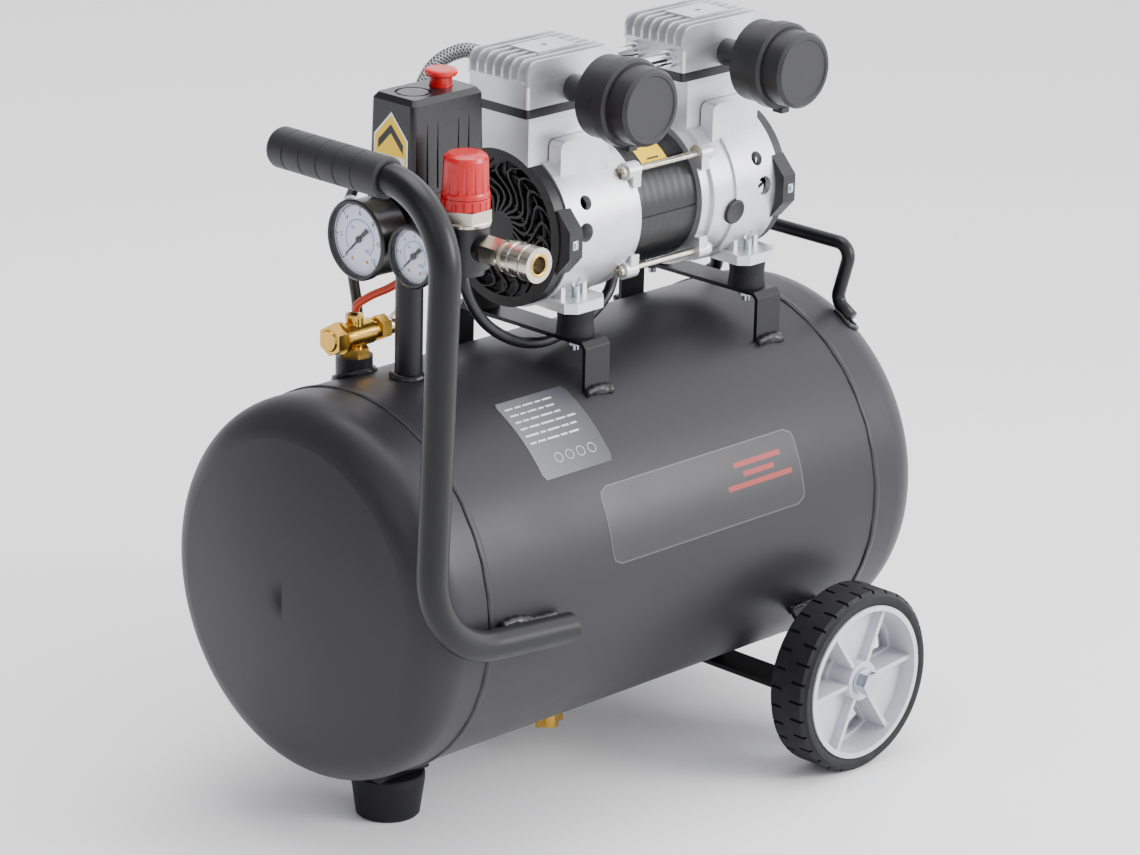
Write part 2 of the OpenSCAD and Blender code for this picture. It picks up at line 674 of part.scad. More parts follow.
filter_rim_y = filter_back_y - filter_cup_len - filter_gap;
module filter_bodies() color("#1f1f22") on_pump() both_ends()
    translate([-cylinder_x, 0, filter_z]) difference() {
    union() {
        along_y(10, filter_back_y, -head_wide / 2);
        along_y(7, -head_wide / 2 - 1, -head_wide / 2 + 8);
        along_y(filter_cup_r, filter_back_y - filter_cup_len, filter_back_y);
        along_y(24, filter_rim_y - 7, filter_back_y);
    }
    along_y(21.5, filter_rim_y - 10, filter_back_y - 3);
    along_y(5, filter_back_y - 5, 0);
}
module filter_cap() {
    cap_end = filter_rim_y - filter_rim_len - filter_cap_len;
    rotate([90, 0, 0]) difference() {
        rotate_extrude() polygon([
            [0, -filter_rim_y], [filter_rim_r - 1, -filter_rim_y], [filter_rim_r, -filter_rim_y + 1],
            [filter_rim_r, -filter_rim_y + filter_rim_len - 2],
            [filter_rim_r - 2, -filter_rim_y + filter_rim_len],
            [filter_cap_r, -filter_rim_y + filter_rim_len], [filter_cap_r, -cap_end - 2.5],
            [filter_cap_r - 2.5, -cap_end], [filter_cap_r - 5, -cap_end], [filter_cap_r - 6, -cap_end - 1],
            [0, -cap_end - 1]
        ]);
        translate([0, 0, -filter_rim_y - 1]) cylinder(r = 24.3, h = 9);
        translate([0, 0, -filter_rim_y + 7]) cylinder(r = 22, h = filter_cap_len);
    }
    translate([-4, filter_rim_y - filter_rim_len, -filter_rim_r - 2.5]) cube([8, filter_rim_len - 3, 4]);
}
module filter_cap_front() color("#222225") on_pump() translate([-cylinder_x, 0, filter_z]) filter_cap();
module filter_cap_rear() color("#222225") on_pump() translate([cylinder_x, 0, filter_z]) filter_cap();

rotor_r = 26;
fan_hub = crank_wall_x + 15;
// The fans turn just under the liners
fan_r = deck_z - liner_len - 2;
module rotor() color("#85888d") on_pump() {
    along_x(shaft_r, -fan_hub + 1, fan_hub - 1);
    along_x(rotor_r, -stator_len / 2 + 2, stator_len / 2 - 2);
    for (s = [-1, 1]) translate([s * cylinder_x, 0, s * eccentric_throw])
        along_x(eccentric_r, -big_end_w / 2, big_end_w / 2);
}
module cooling_fans() color("#2b2b2e") on_pump() both_ends() translate([-fan_hub, 0, 0]) difference() {
    union() {
        along_x(14, 0, 9);
        along_x(fan_r, 7, 9);
        for (a = [0:40:320]) rotate([a, 0, 0]) translate([0, -1, 12]) cube([8, 2, fan_r - 13]);
    }
    along_x(shaft_r, -1, 20);
}

module piston() {
    crown = deck_z - stroke / 2 - 2;
    difference() {
        union() {
            along_z(bore_r - running_gap, crown - piston_t, crown);
            translate([-4, -6, big_end_r]) cube([8, 12, crown - piston_t - big_end_r + 1]);
            along_x(big_end_r + big_end_wall, -big_end_w / 2, big_end_w / 2);
        }
        along_x(big_end_r, -big_end_w, big_end_w);
    }
}
module piston_front() color("#a7a9ad") on_pump() translate([-cylinder_x, 0, 0]) piston();
module piston_rear() color("#a7a9ad") on_pump() translate([cylinder_x, 0, 0]) piston();

// ---- Control head ----

module switch_post() color("#2f2f33") on_post() difference() {
    along_z(post_r, -manifold_rise - 3, -15);
    along_z(post_r - 3, -manifold_rise - 5, 0);
    translate([0, 0, tank_z - manifold_z]) along_x(tank_r, -50, 50);
}
module manifold() color("#232326") on_post() {
    difference() {
        union() {
            along_z(block_r, -15, switch_floor);
            along_x(9, -block_r - 6, 0);
            along_y(9, -regulator_reach + regulator_body_r, block_r + 6);
            translate([0, 0, -15]) hex(27, 7);
        }
        along_z(5, -16, switch_floor + 1);
        along_y(5, -regulator_reach, block_r + 7);
        along_x(5, -block_r - 7, 0);
    }
}
module switch_base() color("#1c1c1f") on_post() translate([switch_dx, 0, switch_floor]) {
    rounded_slab(switch_len + 2, switch_wide + 3, switch_base_h, 4);
    // unloader valve, and the glands of the motor lead and the mains lead
    translate([18, 12, -14]) cylinder(r = 5, h = 14);
    translate([24, -12, -12]) cylinder(r = gland_r, h = 12);
    translate([gland_dx, switch_wide / 2 + 1.5, switch_base_h / 2]) along_y(gland_r, 0, 14);
}
gland_r = 8;
gland_dx = 6;
gland_end = switch_wide / 2 + 15.5;
module switch_cover() color("#202023") on_post() translate([switch_dx, 0, switch_floor + switch_base_h]) {
    top = switch_cover_h;
    difference() {
        hull() {
            rounded_slab(switch_len, switch_wide, 1, 4);
            translate([0, 0, top - 5]) rounded_slab(switch_len - 2, switch_wide - 3, 1, 4);
            translate([0, 0, top - 1]) rounded_slab(switch_len - 8, switch_wide - 9, 1, 3);
        }
        hull() {
            translate([0, 0, -1]) rounded_slab(switch_len - 5, switch_wide - 5, 1, 3);
            translate([0, 0, top - 4]) rounded_slab(switch_len - 11, switch_wide - 12, 1, 3);
        }
        translate([knob_dx - switch_dx, 0, top - 10]) cylinder(r = 8.6, h = 20);
        translate([-14, 0, top - 1.2]) difference() {
            cylinder(r = 13, h = 3);
            translate([0, 0, -1]) cylinder(r = 11, h = 5);
        }
        for (x = [-22, -12, 8, 18]) translate([x, -switch_wide / 2 - 1.6, 4]) cube([1.6, 3, top - 22]);
    }
}
module switch_knob() color("#d8222a") on_post()
    translate([knob_dx, 0, switch_floor + switch_base_h + switch_cover_h]) {
    along_z(8, -8, 10);
    rotate_extrude() polygon([[0, 8], [11, 8], [11.8, 9], [11.8, 11], [11, 12], [9.5, 12.6], [0, 12.6]]);
}

module regulator_body() color("#1e1e21") on_regulator() {
    difference() {
        union() {
            along_z(regulator_body_r, -16, 15);
            along_z(regulator_body_r - 4, -21, -16);
            along_y(10, -regulator_body_r - 1, 0);
            along_x(8, -regulator_body_r - 3, 0);
        }
        along_z(12, -10, 16);
        along_y(5, -30, 0);
    }
}
nut_z0 = 15;
nut_z1 = 26;
module regulator_nut() color("#c8c5bd") on_regulator() difference() {
    union() {
        translate([0, 0, nut_z0]) cylinder(r = 19, h = 2);
        translate([0, 0, nut_z0 + 2]) hex(33, nut_z1 - nut_z0 - 2);
        along_z(9, nut_z1 - 1, nut_z1 + 26);
    }
    along_z(5, nut_z0 - 1, nut_z1 + 30);
}
ring_z0 = nut_z1 + 0.3;
ring_z1 = ring_z0 + 8;
module regulator_lock_ring() color("#d8222a") on_regulator() difference() {
    along_z(17.5, ring_z0, ring_z1);
    along_z(9.1, ring_z0 - 1, ring_z1 + 1);
    for (i = [0:17]) rotate(i * 20) translate([17.8, 0, ring_z0 - 1]) cylinder(r = 1.1, h = 7.5, $fn = 24);
}
knob_z0 = ring_z1 + 0.4;
knob_z1 = knob_z0 + 31;
module regulator_knob() color("#d8222a") on_regulator() difference() {
    rotate_extrude() polygon([
        [0, knob_z0], [17.2, knob_z0], [17.2, knob_z0 + 2.5], [16.6, knob_z0 + 4], [15.8, knob_z1 - 5],
        [14.8, knob_z1 - 2.2], [12.5, knob_z1 - 0.6], [9, knob_z1], [0, knob_z1]
    ]);
    along_z(9.1, knob_z0 - 1, knob_z0 + 20);
    for (i = [0:15]) rotate(i * 22.5) translate([17.4, 0, knob_z0 + 4]) cylinder(r = 1.7, h = 24, $fn = 24);
}

module gauge_case(r, depth, stem) difference() {
    union() {
        rotate_extrude() polygon([
            [0, 0], [r - 1.2, 0], [r, 1.2], [r, 4], [r - 1.2, 5],
            [r - 1.2, depth - 2], [r - 3.2, depth], [0, depth]
        ]);
        cylinder(r = 5.5, h = stem);
        translate([0, 0, depth + 1]) hex(12, 4);
    }
    translate([0, 0, -1]) cylinder(r = r - 3, h = dial_recess + 1);
    translate([0, 0, dial_recess - 1]) cylinder(r = 1.6, h = 4);
}
module at_gauge(y) on_post() translate([-gauge_face, y, 0]) rotate([0, 90, 0]) children();
module gauge_cases() color("#1a1a1d") {
    at_gauge(0) gauge_case(tank_gauge_r, 28, gauge_face - block_r - 6);
    at_gauge(-regulator_reach) gauge_case(outlet_gauge_r, 23, gauge_face - regulator_body_r - 3);
}
module dial(r) translate([0, 0, dial_recess - 1]) difference() {
    cylinder(r = r - 3.1, h = 0.8);
    translate([0, 0, -1]) cylinder(r = 1.6, h = 3);
}
module gauge_dials() color("#dfe6ee") {
    at_gauge(0) dial(tank_gauge_r);
    at_gauge(-regulator_reach) dial(outlet_gauge_r);
}
// Each needle stands at its zero stop, low on the left of the dial
needle_rest = 45;
module needle(r) rotate(needle_rest) {
    translate([0, 0, dial_recess - 3.2]) cylinder(r = 2.4, h = 1.6);
    translate([0, 0, dial_recess - 2]) cylinder(r = 1.5, h = 3.5);
    translate([0, 0, dial_recess - 2.4]) linear_extrude(0.7)
        polygon([
            [-r * 0.42, -1.7], [-r * 0.1, -1], [r * 0.72, -0.25],
            [r * 0.72, 0.25], [-r * 0.1, 1], [-r * 0.42, 1.7]
        ]);
}
module tank_gauge_needle() color("#26262a") at_gauge(0) needle(tank_gauge_r - 3);
module outlet_gauge_needle() color("#26262a") at_gauge(-regulator_reach) needle(outlet_gauge_r - 3);

coupler_y0 = regulator_body_r + 1;
module coupler_body() color("#b9b2a6") on_regulator() difference() {
    union() {
        along_y(6.5, -coupler_y0 - 5, -coupler_y0);
        translate([0, -coupler_y0 - 4, 0]) rotate([90, 30, 0]) hex(19, 17);
        along_y(9.4, -coupler_y0 - 52, -coupler_y0 - 20);
        along_y(11.2, -coupler_y0 - 22.5, -coupler_y0 - 20);
        along_y(12.6, -coupler_y0 - 53, -coupler_y0 - 45);
    }
    along_y(coupler_bore_r, -coupler_y0 - 60, -coupler_y0 - 34);
    along_y(3.5, -coupler_y0 - 60, -coupler_y0 + 1);
}
sleeve_y0 = coupler_y0 + 22.5 + sleeve_travel + 0.3;
sleeve_y1 = coupler_y0 + 45 - 0.3;
module coupler_sleeve() color("#bdb6aa") on_regulator() rotate([90, 0, 0]) difference() {
    rotate_extrude() polygon([
        [0, sleeve_y0], [11.6, sleeve_y0], [12.4, sleeve_y0 + 1], [12.4, sleeve_y0 + 6],
        [11.8, sleeve_y0 + 7], [11.8, sleeve_y1 - 5], [12.6, sleeve_y1 - 4], [12.6, sleeve_y1 - 1],
        [12, sleeve_y1], [0, sleeve_y1]
    ]);
    translate([0, 0, sleeve_y0 - 1]) cylinder(r = 9.45, h = 40);
}

safety_y0 = block_r + 6;
module safety_valve_body() color("#b8963f") on_post() difference() {
    union() {
        translate([0, safety_y0, 0]) rotate([-90, 0, 0]) hex(14, 8);
        along_y(6.5, safety_y0 + 8, safety_y0 + 26);
        along_y(2, safety_y0 + 20, safety_y0 + 29.3);
    }
    along_y(3, safety_y0 - 1, safety_y0 + 16);
}
safety_travel = 3;
module safety_valve_ring() color("#c9ccd0") on_post() translate([0, safety_y0 + 26.3, 0]) {
    difference() {
        along_y(4, 0, 4.5);
        along_y(2.05, -1, 4.2);
    }
    translate([0, 13.5, 0]) rotate([0, 90, 0]) rotate_extrude() translate([9, 0]) circle(r = 1, $fn = 24);
}

valve_z = bung_top + 15;
module check_valve_body() color("#c39b3f") on_frame() translate([bung_x, bung_y, valve_z]) {
    difference() {
        union() {
            along_x(9.5, -12, 14);
            along_z(7.5, -15, 0);
            translate([0, 0, -15]) hex(19, 6);
            along_z(6.5, 0, 13);
            translate([0, 0, 9]) hex(12, 6);
            along_x(7, 14, 20);
        }
        along_x(5, -20, 25);
        along_z(4, -16, 0);
        along_z(3, 0, 20);
    }
    translate([20, 0, 0]) rotate([0, 90, 0]) difference() {
        hex(17, 9);
        translate([0, 0, -1]) cylinder(r = 5, h = 12);
    }
}
module check_valve_cap() color("#d0a84a") on_frame() translate([bung_x - 12, bung_y, valve_z]) {
    rotate([0, -90, 0]) {
        cylinder(r = 11.5, h = 3);
        translate([0, 0, 3]) hex(20, 9);
        translate([0, 0, 12]) cylinder(r1 = 8, r2 = 7, h = 1.5);
    }
}

hose_r = 5.5;
hose_points = [
    [-120, 50, 350], [-108, 50, 352], [-92, 58, 366], [-80, 70, 396], [-74, 76, 440], [-66, 80, 490],
    [-48, 80, 522], [-28, 70, 534], [-15, 56, 531], [-13, 44, 525], [-13, 36, 524]
];
module delivery_hose() color("#9a9ca0") sweep(smooth(hose_points, 4), hose_r, 12, [0, 0, 1]);
unloader_r = 3;
unloader_points = [
    [-150, 50, 368], [-149, 48, 373], [-143, 40, 380], [-134, 28, 388], [-122, 16, 402], [-113, 11, 422],
    [-111, 12, 443]
];
module unloader_tube() color("#b5402c") sweep(smooth(unloader_points, 4), unloader_r, 8, [1, 0, 0]);

drain_z = ground_gap - drain_bung_h + 2;
module drain_valve_body() color("#c39b3f") on_frame() {
    difference() {
        union() {
            along_z(5.9, drain_z, drain_z + 6);
            translate([0, 0, drain_z - 6]) hex(14, 6);
            along_z(5, drain_z - 14, drain_z - 6);
        }
        along_z(2.5, drain_z - 8, drain_z + 7);
    }
}
module drain_valve_knob() color("#c9a24a") on_frame() translate([0, 0, drain_z - 22]) {
    difference() {
        cylinder(r = 7, h = 8 - 0.3 + 5);
        translate([0, 0, 7.7]) cylinder(r = 5.05, h = 10);
    }
    translate([-13, -1.5, 1]) cube([26, 3, 7]);
}

// ---- Leads ----

// Sweeps a round tube along a smooth curve through hand-chosen points
function spline(p0, p1, p2, p3, t) = 0.5 * (2 * p1 + (p2 - p0) * t + (2 * p0 - 5 * p1 + 4 * p2 - p3) * t * t
    + (3 * p1 - p0 - 3 * p2 + p3) * t * t * t);
function smooth(points, steps) = let (n = len(points) - 1) concat(
    [for (i = [0:n - 1], k = [0:steps - 1]) spline(points[max(i - 1, 0)], points[i], points[i + 1],
        points[min(i + 2, n)], k / steps)],
    [points[n]]);
function path_dir(c, i) = unit(c[min(i + 1, len(c) - 1)] - c[max(i - 1, 0)]);
function side_of(d, s) = unit(s - d * (s * d));
function sides(c, i, s) = i == len(c) ? []
    : let (n = side_of(path_dir(c, i), s)) concat([n], sides(c, i + 1, n));
module sweep(c, r, facets, start) {
    n = sides(c, 0, start);
    rings = [for (i = [0:len(c) - 1]) let (d = path_dir(c, i), b = cross(d, n[i]))
        for (k = [0:facets - 1]) c[i] + r * (n[i] * cos(k * 360 / facets) + b * sin(k * 360 / facets))];
    last = len(c) - 1;
    polyhedron(rings, concat(
        [[for (k = [0:facets - 1]) k]],
        [for (i = [0:last - 1], k = [0:facets - 1]) [i * facets + k, (i + 1) * facets + k,
            (i + 1) * facets + (k + 1) % facets, i * facets + (k + 1) % facets]],
        [[for (k = [facets - 1:-1:0]) last * facets + k]]
    ));
}

// The same, hollow and open at both ends
module tube(c, r, wall, facets, start) {
    n = sides(c, 0, start);
    last = len(c) - 1;
    inner = len(c) * facets;
    rings = [for (radius = [r, r - wall], i = [0:last]) let (d = path_dir(c, i), b = cross(d, n[i]))
        for (k = [0:facets - 1]) c[i] + radius * (n[i] * cos(k * 360 / facets) + b * sin(k * 360 / facets))];
    polyhedron(rings, concat(
        [for (k = [0:facets - 1]) let (m = (k + 1) % facets) [k, m, inner + m, inner + k]],
        [for (i = [0:last - 1], k = [0:facets - 1]) let (a = i * facets, b = a + facets, m = (k + 1) % facets)
            [a + k, b + k, b + m, a + m]],
        [for (i = [0:last - 1], k = [0:facets - 1])
            let (a = inner + i * facets, b = a + facets, m = (k + 1) % facets) [a + k, a + m, b + m, b + k]],
        [for (k = [0:facets - 1]) let (a = last * facets, m = (k + 1) % facets)
            [a + k, inner + a + k, inner + a + m, a + m]]
    ));
}

motor_lead_r = 4.2;
motor_lead_points = [
    [-105, -12, 445], [-106, -14, 420], [-108, -20, 390], [-92, -22, 364], [-66, -24, 346],
    [-36, -22, 337], [-6, -16, 336], [30, -8, 340], [56, -2, 352], [65, 0, 372]
];
module motor_lead() color("#1d1d20") sweep(smooth(motor_lead_points, 4), motor_lead_r, 10, [0, 1, 0]);

lead_r = 4;
lead_points = [
    [-123, 38, 462], [-123, 50, 462], [-124, 67, 458], [-124, 81, 446], [-123, 88, 425], [-120, 87, 390],
    [-116, 84, 355], [-111, 90, 325], [-105, 106, 298], [-98, 126, 270], [-92, 142, 236], [-88, 148, 195],
    [-86, 149, 140], [-84, 150, 90], [-83, 151, 62], [-80, 154, 37], [-73, 162, 16], [-62, 174, 6.5],
    [-49, 188, 4.3], [-37, 202, 4.1], [-25, 218, 4]
];
// From the coil's last turn to the plug
lead_tail_points = [[34, 142, 12], [14, 137, 11], [-5, 131, 9], [-15, 129, 9]];
module mains_lead() color("#1d1d20") {
    sweep(smooth(lead_points, 3), lead_r, 8, [1, 0, 0]);
    sweep(smooth(lead_tail_points, 2), lead_r, 8, [0, 0, 1]);
}
// The rest of the lead is wound in a coil that lies on the floor
coil_at = [20, 192, 0];
coil_inner_r = 28.5;
coil_outer_r = 56.2;
coil_h = 16.2;
module lead_coil() color("#1d1d20") translate(coil_at) rotate_extrude()
    translate([coil_inner_r, 0]) square([coil_outer_r - coil_inner_r, coil_h]);
plug_len = 36;
plug_w = 26;
plug_h = 18;
module mains_plug() color("#1d1d20") translate([-15, 129, 0]) rotate(195) {
    translate([0, -plug_w / 2, 0]) cube([plug_len, plug_w, plug_h]);
    for (y = [-9.5, 9.5]) translate([0, y, plug_h / 2]) along_x(2.4, plug_len - 2, plug_len + 18);
}

tank_barrel();
tank_heads();
tank_bungs();
foot_bracket();
rubber_foot();
axle_bracket();
wheel_bolts();
push_handle();
handle_grip();
carry_handle();
pump_brackets();
mount_rubbers();
mount_bolts();
switch_post();
manifold();
switch_base();
switch_cover();
switch_knob();
regulator_body();
regulator_nut();
regulator_lock_ring();
regulator_knob();
gauge_cases();
gauge_dials();
tank_gauge_needle();
outlet_gauge_needle();
coupler_body();
coupler_sleeve();
safety_valve_body();
safety_valve_ring();
check_valve_body();
check_valve_cap();
delivery_hose();
unloader_tube();
drain_valve_body();
drain_valve_knob();
motor_lead();
crankcases();
cylinder_liners();
bearings();
fan_covers();
stator();
tie_rods();
cylinder_heads();
valve_plates();
transfer_pipes();
filter_bodies();
filter_cap_front();
filter_cap_rear();
rotor();
cooling_fans();
piston_front();
piston_rear();
wheel_left();
wheel_right();
tyre_left();
tyre_right();
mains_lead();
lead_coil();
mains_plug();
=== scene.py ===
# %% [markdown]
# # An air compressor, dressed in Blender
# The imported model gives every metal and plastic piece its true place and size. This lesson keeps those
# pieces as they are, gives each one a finish made from nodes, and adds what a drawing leaves out: welds,
# printing, glass, braid and the mains lead. All lengths are in metres and Z is up.

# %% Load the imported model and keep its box
import bmesh
import bpy
import math
import random
from mathutils import Matrix, Vector


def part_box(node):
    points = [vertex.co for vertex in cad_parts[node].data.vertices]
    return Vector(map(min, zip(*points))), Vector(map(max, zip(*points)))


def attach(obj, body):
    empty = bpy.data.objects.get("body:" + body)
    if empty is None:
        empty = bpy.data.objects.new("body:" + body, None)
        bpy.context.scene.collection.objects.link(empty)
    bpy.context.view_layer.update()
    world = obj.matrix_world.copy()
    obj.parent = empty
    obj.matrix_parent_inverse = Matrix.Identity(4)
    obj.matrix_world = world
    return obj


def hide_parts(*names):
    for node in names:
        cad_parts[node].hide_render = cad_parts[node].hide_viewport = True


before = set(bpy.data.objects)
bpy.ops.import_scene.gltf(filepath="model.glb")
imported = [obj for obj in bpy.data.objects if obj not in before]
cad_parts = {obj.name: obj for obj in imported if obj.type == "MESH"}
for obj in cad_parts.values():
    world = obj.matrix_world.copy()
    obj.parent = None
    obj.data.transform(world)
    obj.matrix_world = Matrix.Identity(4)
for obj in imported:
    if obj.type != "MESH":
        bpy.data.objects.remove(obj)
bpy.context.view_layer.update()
BODY = "frame"
TANK_R, TANK_Z = 0.14, 0.1895
SEAM_X = 0.2025  # from the tank's middle to each weld seam
POST_X, HEAD_Z = -0.144679, 0.44  # the post, and the height of the gauges and the coupler it carries
BUNG_X, BUNG_Y = -0.150679, 0.05  # the boss under the check valve
AXLE_X, FOOT_X = 0.153321, -0.161179
PUMP_X, PUMP_Z = 0.0653213, 0.422

# %% [markdown]
# ## Camera
# A long lens stands a good three metres off, high on the front left corner. Its turn is built from three
# angles, because a camera's own axes are right, up and back.

# %% Place the camera
AZIMUTH, ELEVATION, ROLL = (math.radians(a) for a in (-45.89, 18.664, 1.26))
back = Vector((math.sin(AZIMUTH) * math.cos(ELEVATION), -math.cos(AZIMUTH) * math.cos(ELEVATION),
               math.sin(ELEVATION)))
right = (-back).cross(Vector((0, 0, 1))).normalized()
up = right.cross(-back)
tilted_right = right * math.cos(ROLL) + up * math.sin(ROLL)
tilted_up = up * math.cos(ROLL) - right * math.sin(ROLL)
camera = bpy.data.objects.new("Camera", bpy.data.cameras.new("Camera"))
camera.data.sensor_width = 36
camera.data.lens = 146.9
camera.matrix_world = Matrix.Translation((-2.3137, -2.263, 1.352)) @ Matrix(
    (tilted_right, tilted_up, back)).transposed().to_4x4()
camera.data.clip_start, camera.data.clip_end = 0.1, 50
bpy.context.scene.collection.objects.link(camera)
bpy.context.scene.camera = camera
print("camera stands", round(camera.location.length, 2), "m from the middle of the floor")

# %% [markdown]
# ## Helpers
# One function turns a hex colour to the linear numbers that the shaders use, and one adds a node. Round
# leads, tubes and weld beads are all a ring of points carried along a line, so one function makes them
# too. It writes a UV map in millimetres, along the line and round it, for braids and ribs.

# %% Colour, node and mesh helpers
MM = 0.001


def srgb(code):
    """A hex colour such as "c0ffee" as linear red, green, blue and alpha."""
    parts = [int(code[i:i + 2], 16) / 255 for i in (0, 2, 4)]
    return [c / 12.92 if c <= 0.04045 else ((c + 0.055) / 1.055) ** 2.4 for c in parts] + [1.0]


def add(mat, kind, links=None, **settings):
    """Adds one node. links gives each named or numbered input a value or another node's output."""
    made = mat.node_tree.nodes.new("ShaderNode" + kind)
    for name, value in settings.items():
        setattr(made, name, value)
    for name, value in (links or {}).items():
        if isinstance(value, bpy.types.NodeSocket):
            mat.node_tree.links.new(value, made.inputs[name])
        else:
            made.inputs[name].default_value = value
    return made


def place(name, verts, faces, material, body=BODY, smooth=True, uvs=None):
    """Makes a mesh piece that rides on a body."""
    mesh = bpy.data.meshes.new(name)
    mesh.from_pydata([tuple(v) for v in verts], [], faces)
    if uvs:
        layer = mesh.uv_layers.new(name="UVMap")
        for poly in mesh.polygons:
            for k, loop in enumerate(poly.loop_indices):
                layer.data[loop].uv = uvs[poly.index][k]
    mesh.materials.append(material)
    mesh.polygons.foreach_set("use_smooth", [smooth] * len(mesh.polygons))
    mesh.validate()
    mesh.update()
    piece = bpy.data.objects.new(name, mesh)
    bpy.context.scene.collection.objects.link(piece)
    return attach(piece, body)


def curve_through(points, steps):
    """A smooth line through points: steps stretches between each two."""
    p = [Vector(v) for v in points]
    line = []
    for i in range(len(p) - 1):
        a, b, c, d = p[max(i - 1, 0)], p[i], p[i + 1], p[min(i + 2, len(p) - 1)]
        for k in range(steps):
            t = k / steps
            line.append(0.5 * (2 * b + (c - a) * t + (2 * a - 5 * b + 4 * c - d) * t * t
                               + (3 * b - a - 3 * c + d) * t ** 3))
    return line + [p[-1]]


def length_of(line):
    return sum((b - a).length for a, b in zip(line, line[1:]))


def evenly(line, count):
    """The same line with count points, evenly spaced."""
    total, made, done, i = length_of(line), [line[0]], 0.0, 0
    for n in range(1, count - 1):
        want = total * n / (count - 1)
        while done + (line[i + 1] - line[i]).length < want:
            done += (line[i + 1] - line[i]).length
            i += 1
        made.append(line[i].lerp(line[i + 1], (want - done) / (line[i + 1] - line[i]).length))
    return made + [line[-1]]


def tube(name, line, radius, material, body=BODY, sides=16, closed=False, side=(0, 0, 1), flat=1.0, caps=True):
    """A round skin along line. radius is a number or a function of the distance along and round it."""
    line = [Vector(v) for v in line]
    count = len(line)
    normal, verts, walked, along = Vector(side), [], 0.0, []
    for i, p in enumerate(line):
        if closed:
            ahead = (line[(i + 1) % count] - line[i - 1]).normalized()
        else:
            ahead = (line[min(i + 1, count - 1)] - line[max(i - 1, 0)]).normalized()
        normal = (normal - ahead * ahead.dot(normal)).normalized()
        across = ahead.cross(normal)
        walked += (p - line[i - 1]).length if i else 0.0
        along.append(walked)
        for k in range(sides):
            turn = 2 * math.pi * k / sides
            r = radius(walked, turn) if callable(radius) else radius
            verts.append(p + (normal * math.cos(turn) * flat + across * math.sin(turn)) * r)
    faces, uvs = [], []
    for i in range(count if closed else count - 1):
        j = (i + 1) % count
        u0, u1 = along[i] / MM, (along[j] if j else along[i] + (line[0] - line[i]).length) / MM
        for k in range(sides):
            m = (k + 1) % sides
            faces.append((i * sides + k, i * sides + m, j * sides + m, j * sides + k))
            v0, v1 = k / sides, (k + 1) / sides
            uvs.append([(u0, v0), (u0, v1), (u1, v1), (u1, v0)])
    if not closed and caps:
        faces += [tuple(range(sides - 1, -1, -1)), tuple(range((count - 1) * sides, count * sides))]
        uvs += [[(0, 0)] * sides, [(0, 0)] * sides]
    return place(name, verts, faces, material, body, True, uvs)


def turned(name, profile, centre, axis, material, body=BODY, sides=64):
    """A skin turned round axis: profile lists (radius, height) pairs from one end to the other."""
    turn = Vector(axis).to_track_quat("Z", "Y").to_matrix()
    verts = [Vector(centre) + turn @ Vector((r * math.cos(a), r * math.sin(a), h))
             for r, h in profile for a in (2 * math.pi * k / sides for k in range(sides))]
    faces = [(i * sides + k, i * sides + (k + 1) % sides, (i + 1) * sides + (k + 1) % sides, (i + 1) * sides + k)
             for i in range(len(profile) - 1) for k in range(sides)]
    return place(name, verts, faces, material, body)


print("white is", srgb("ffffff")[:3], "and a mid grey is", round(srgb("808080")[0], 3))

# %% [markdown]
# ## A starting point for every finish
# Real surfaces are never one flat colour. Each finish below starts from the same three layers: a fine
# grain that tilts the surface, a slow cloud that shifts the colour a little, and the same cloud in the
# roughness, so that highlights break up. The sizes are real ones, in millimetres.

# %% Base of all finishes
def finish(name, colour, roughness, metallic=0.0, grain_mm=0.5, depth_mm=0.01, shift=0.06, cloud_mm=40, **sockets):
    """A new material, its shader, its coordinates, its grain bump and its clouded colour."""
    mat = bpy.data.materials.new(name)
    mat.use_nodes = True
    shader = mat.node_tree.nodes["Principled BSDF"]
    shader.inputs["Metallic"].default_value = metallic
    for socket, value in sockets.items():
        shader.inputs[socket.replace("_", " ")].default_value = value
    where = add(mat, "TexCoord")
    grain = add(mat, "TexNoise", {"Vector": where.outputs["Object"], "Scale": 1000 / grain_mm, "Detail": 3.0})
    cloud = add(mat, "TexNoise", {"Vector": where.outputs["Object"], "Scale": 1000 / cloud_mm, "Detail": 4.0})
    bump = add(mat, "Bump", {"Height": grain.outputs["Fac"], "Distance": depth_mm * MM, "Strength": 1.0})
    base = srgb(colour)
    tint = add(mat, "MapRange", {"Value": cloud.outputs["Fac"], "From Min": 0.3, "From Max": 0.7,
                                 "To Min": 1 - shift, "To Max": 1 + shift})
    mixed = add(mat, "Mix", {"Factor": 1.0, 6: base, 7: (1, 1, 1, 1)}, data_type="RGBA", blend_type="MULTIPLY")
    mat.node_tree.links.new(tint.outputs["Result"], mixed.inputs[7])
    gloss = add(mat, "MapRange", {"Value": cloud.outputs["Fac"], "From Min": 0.3, "From Max": 0.7,
                                  "To Min": roughness * 0.88, "To Max": min(1, roughness * 1.12)})
    links = mat.node_tree.links
    links.new(mixed.outputs[2], shader.inputs["Base Color"])
    links.new(gloss.outputs["Result"], shader.inputs["Roughness"])
    links.new(bump.outputs["Normal"], shader.inputs["Normal"])
    return {"mat": mat, "shader": shader, "where": where, "bump": bump, "colour": mixed, "grain": grain,
            "cloud": cloud, "gloss": gloss}


def recolour(made, factor, colour):
    """Lays another colour over a finish wherever factor is 1."""
    over = add(made["mat"], "Mix", {"Factor": factor, 6: made["colour"].outputs[2], 7: srgb(colour)},
               data_type="RGBA")
    made["mat"].node_tree.links.new(over.outputs[2], made["shader"].inputs["Base Color"])
    made["colour"] = over


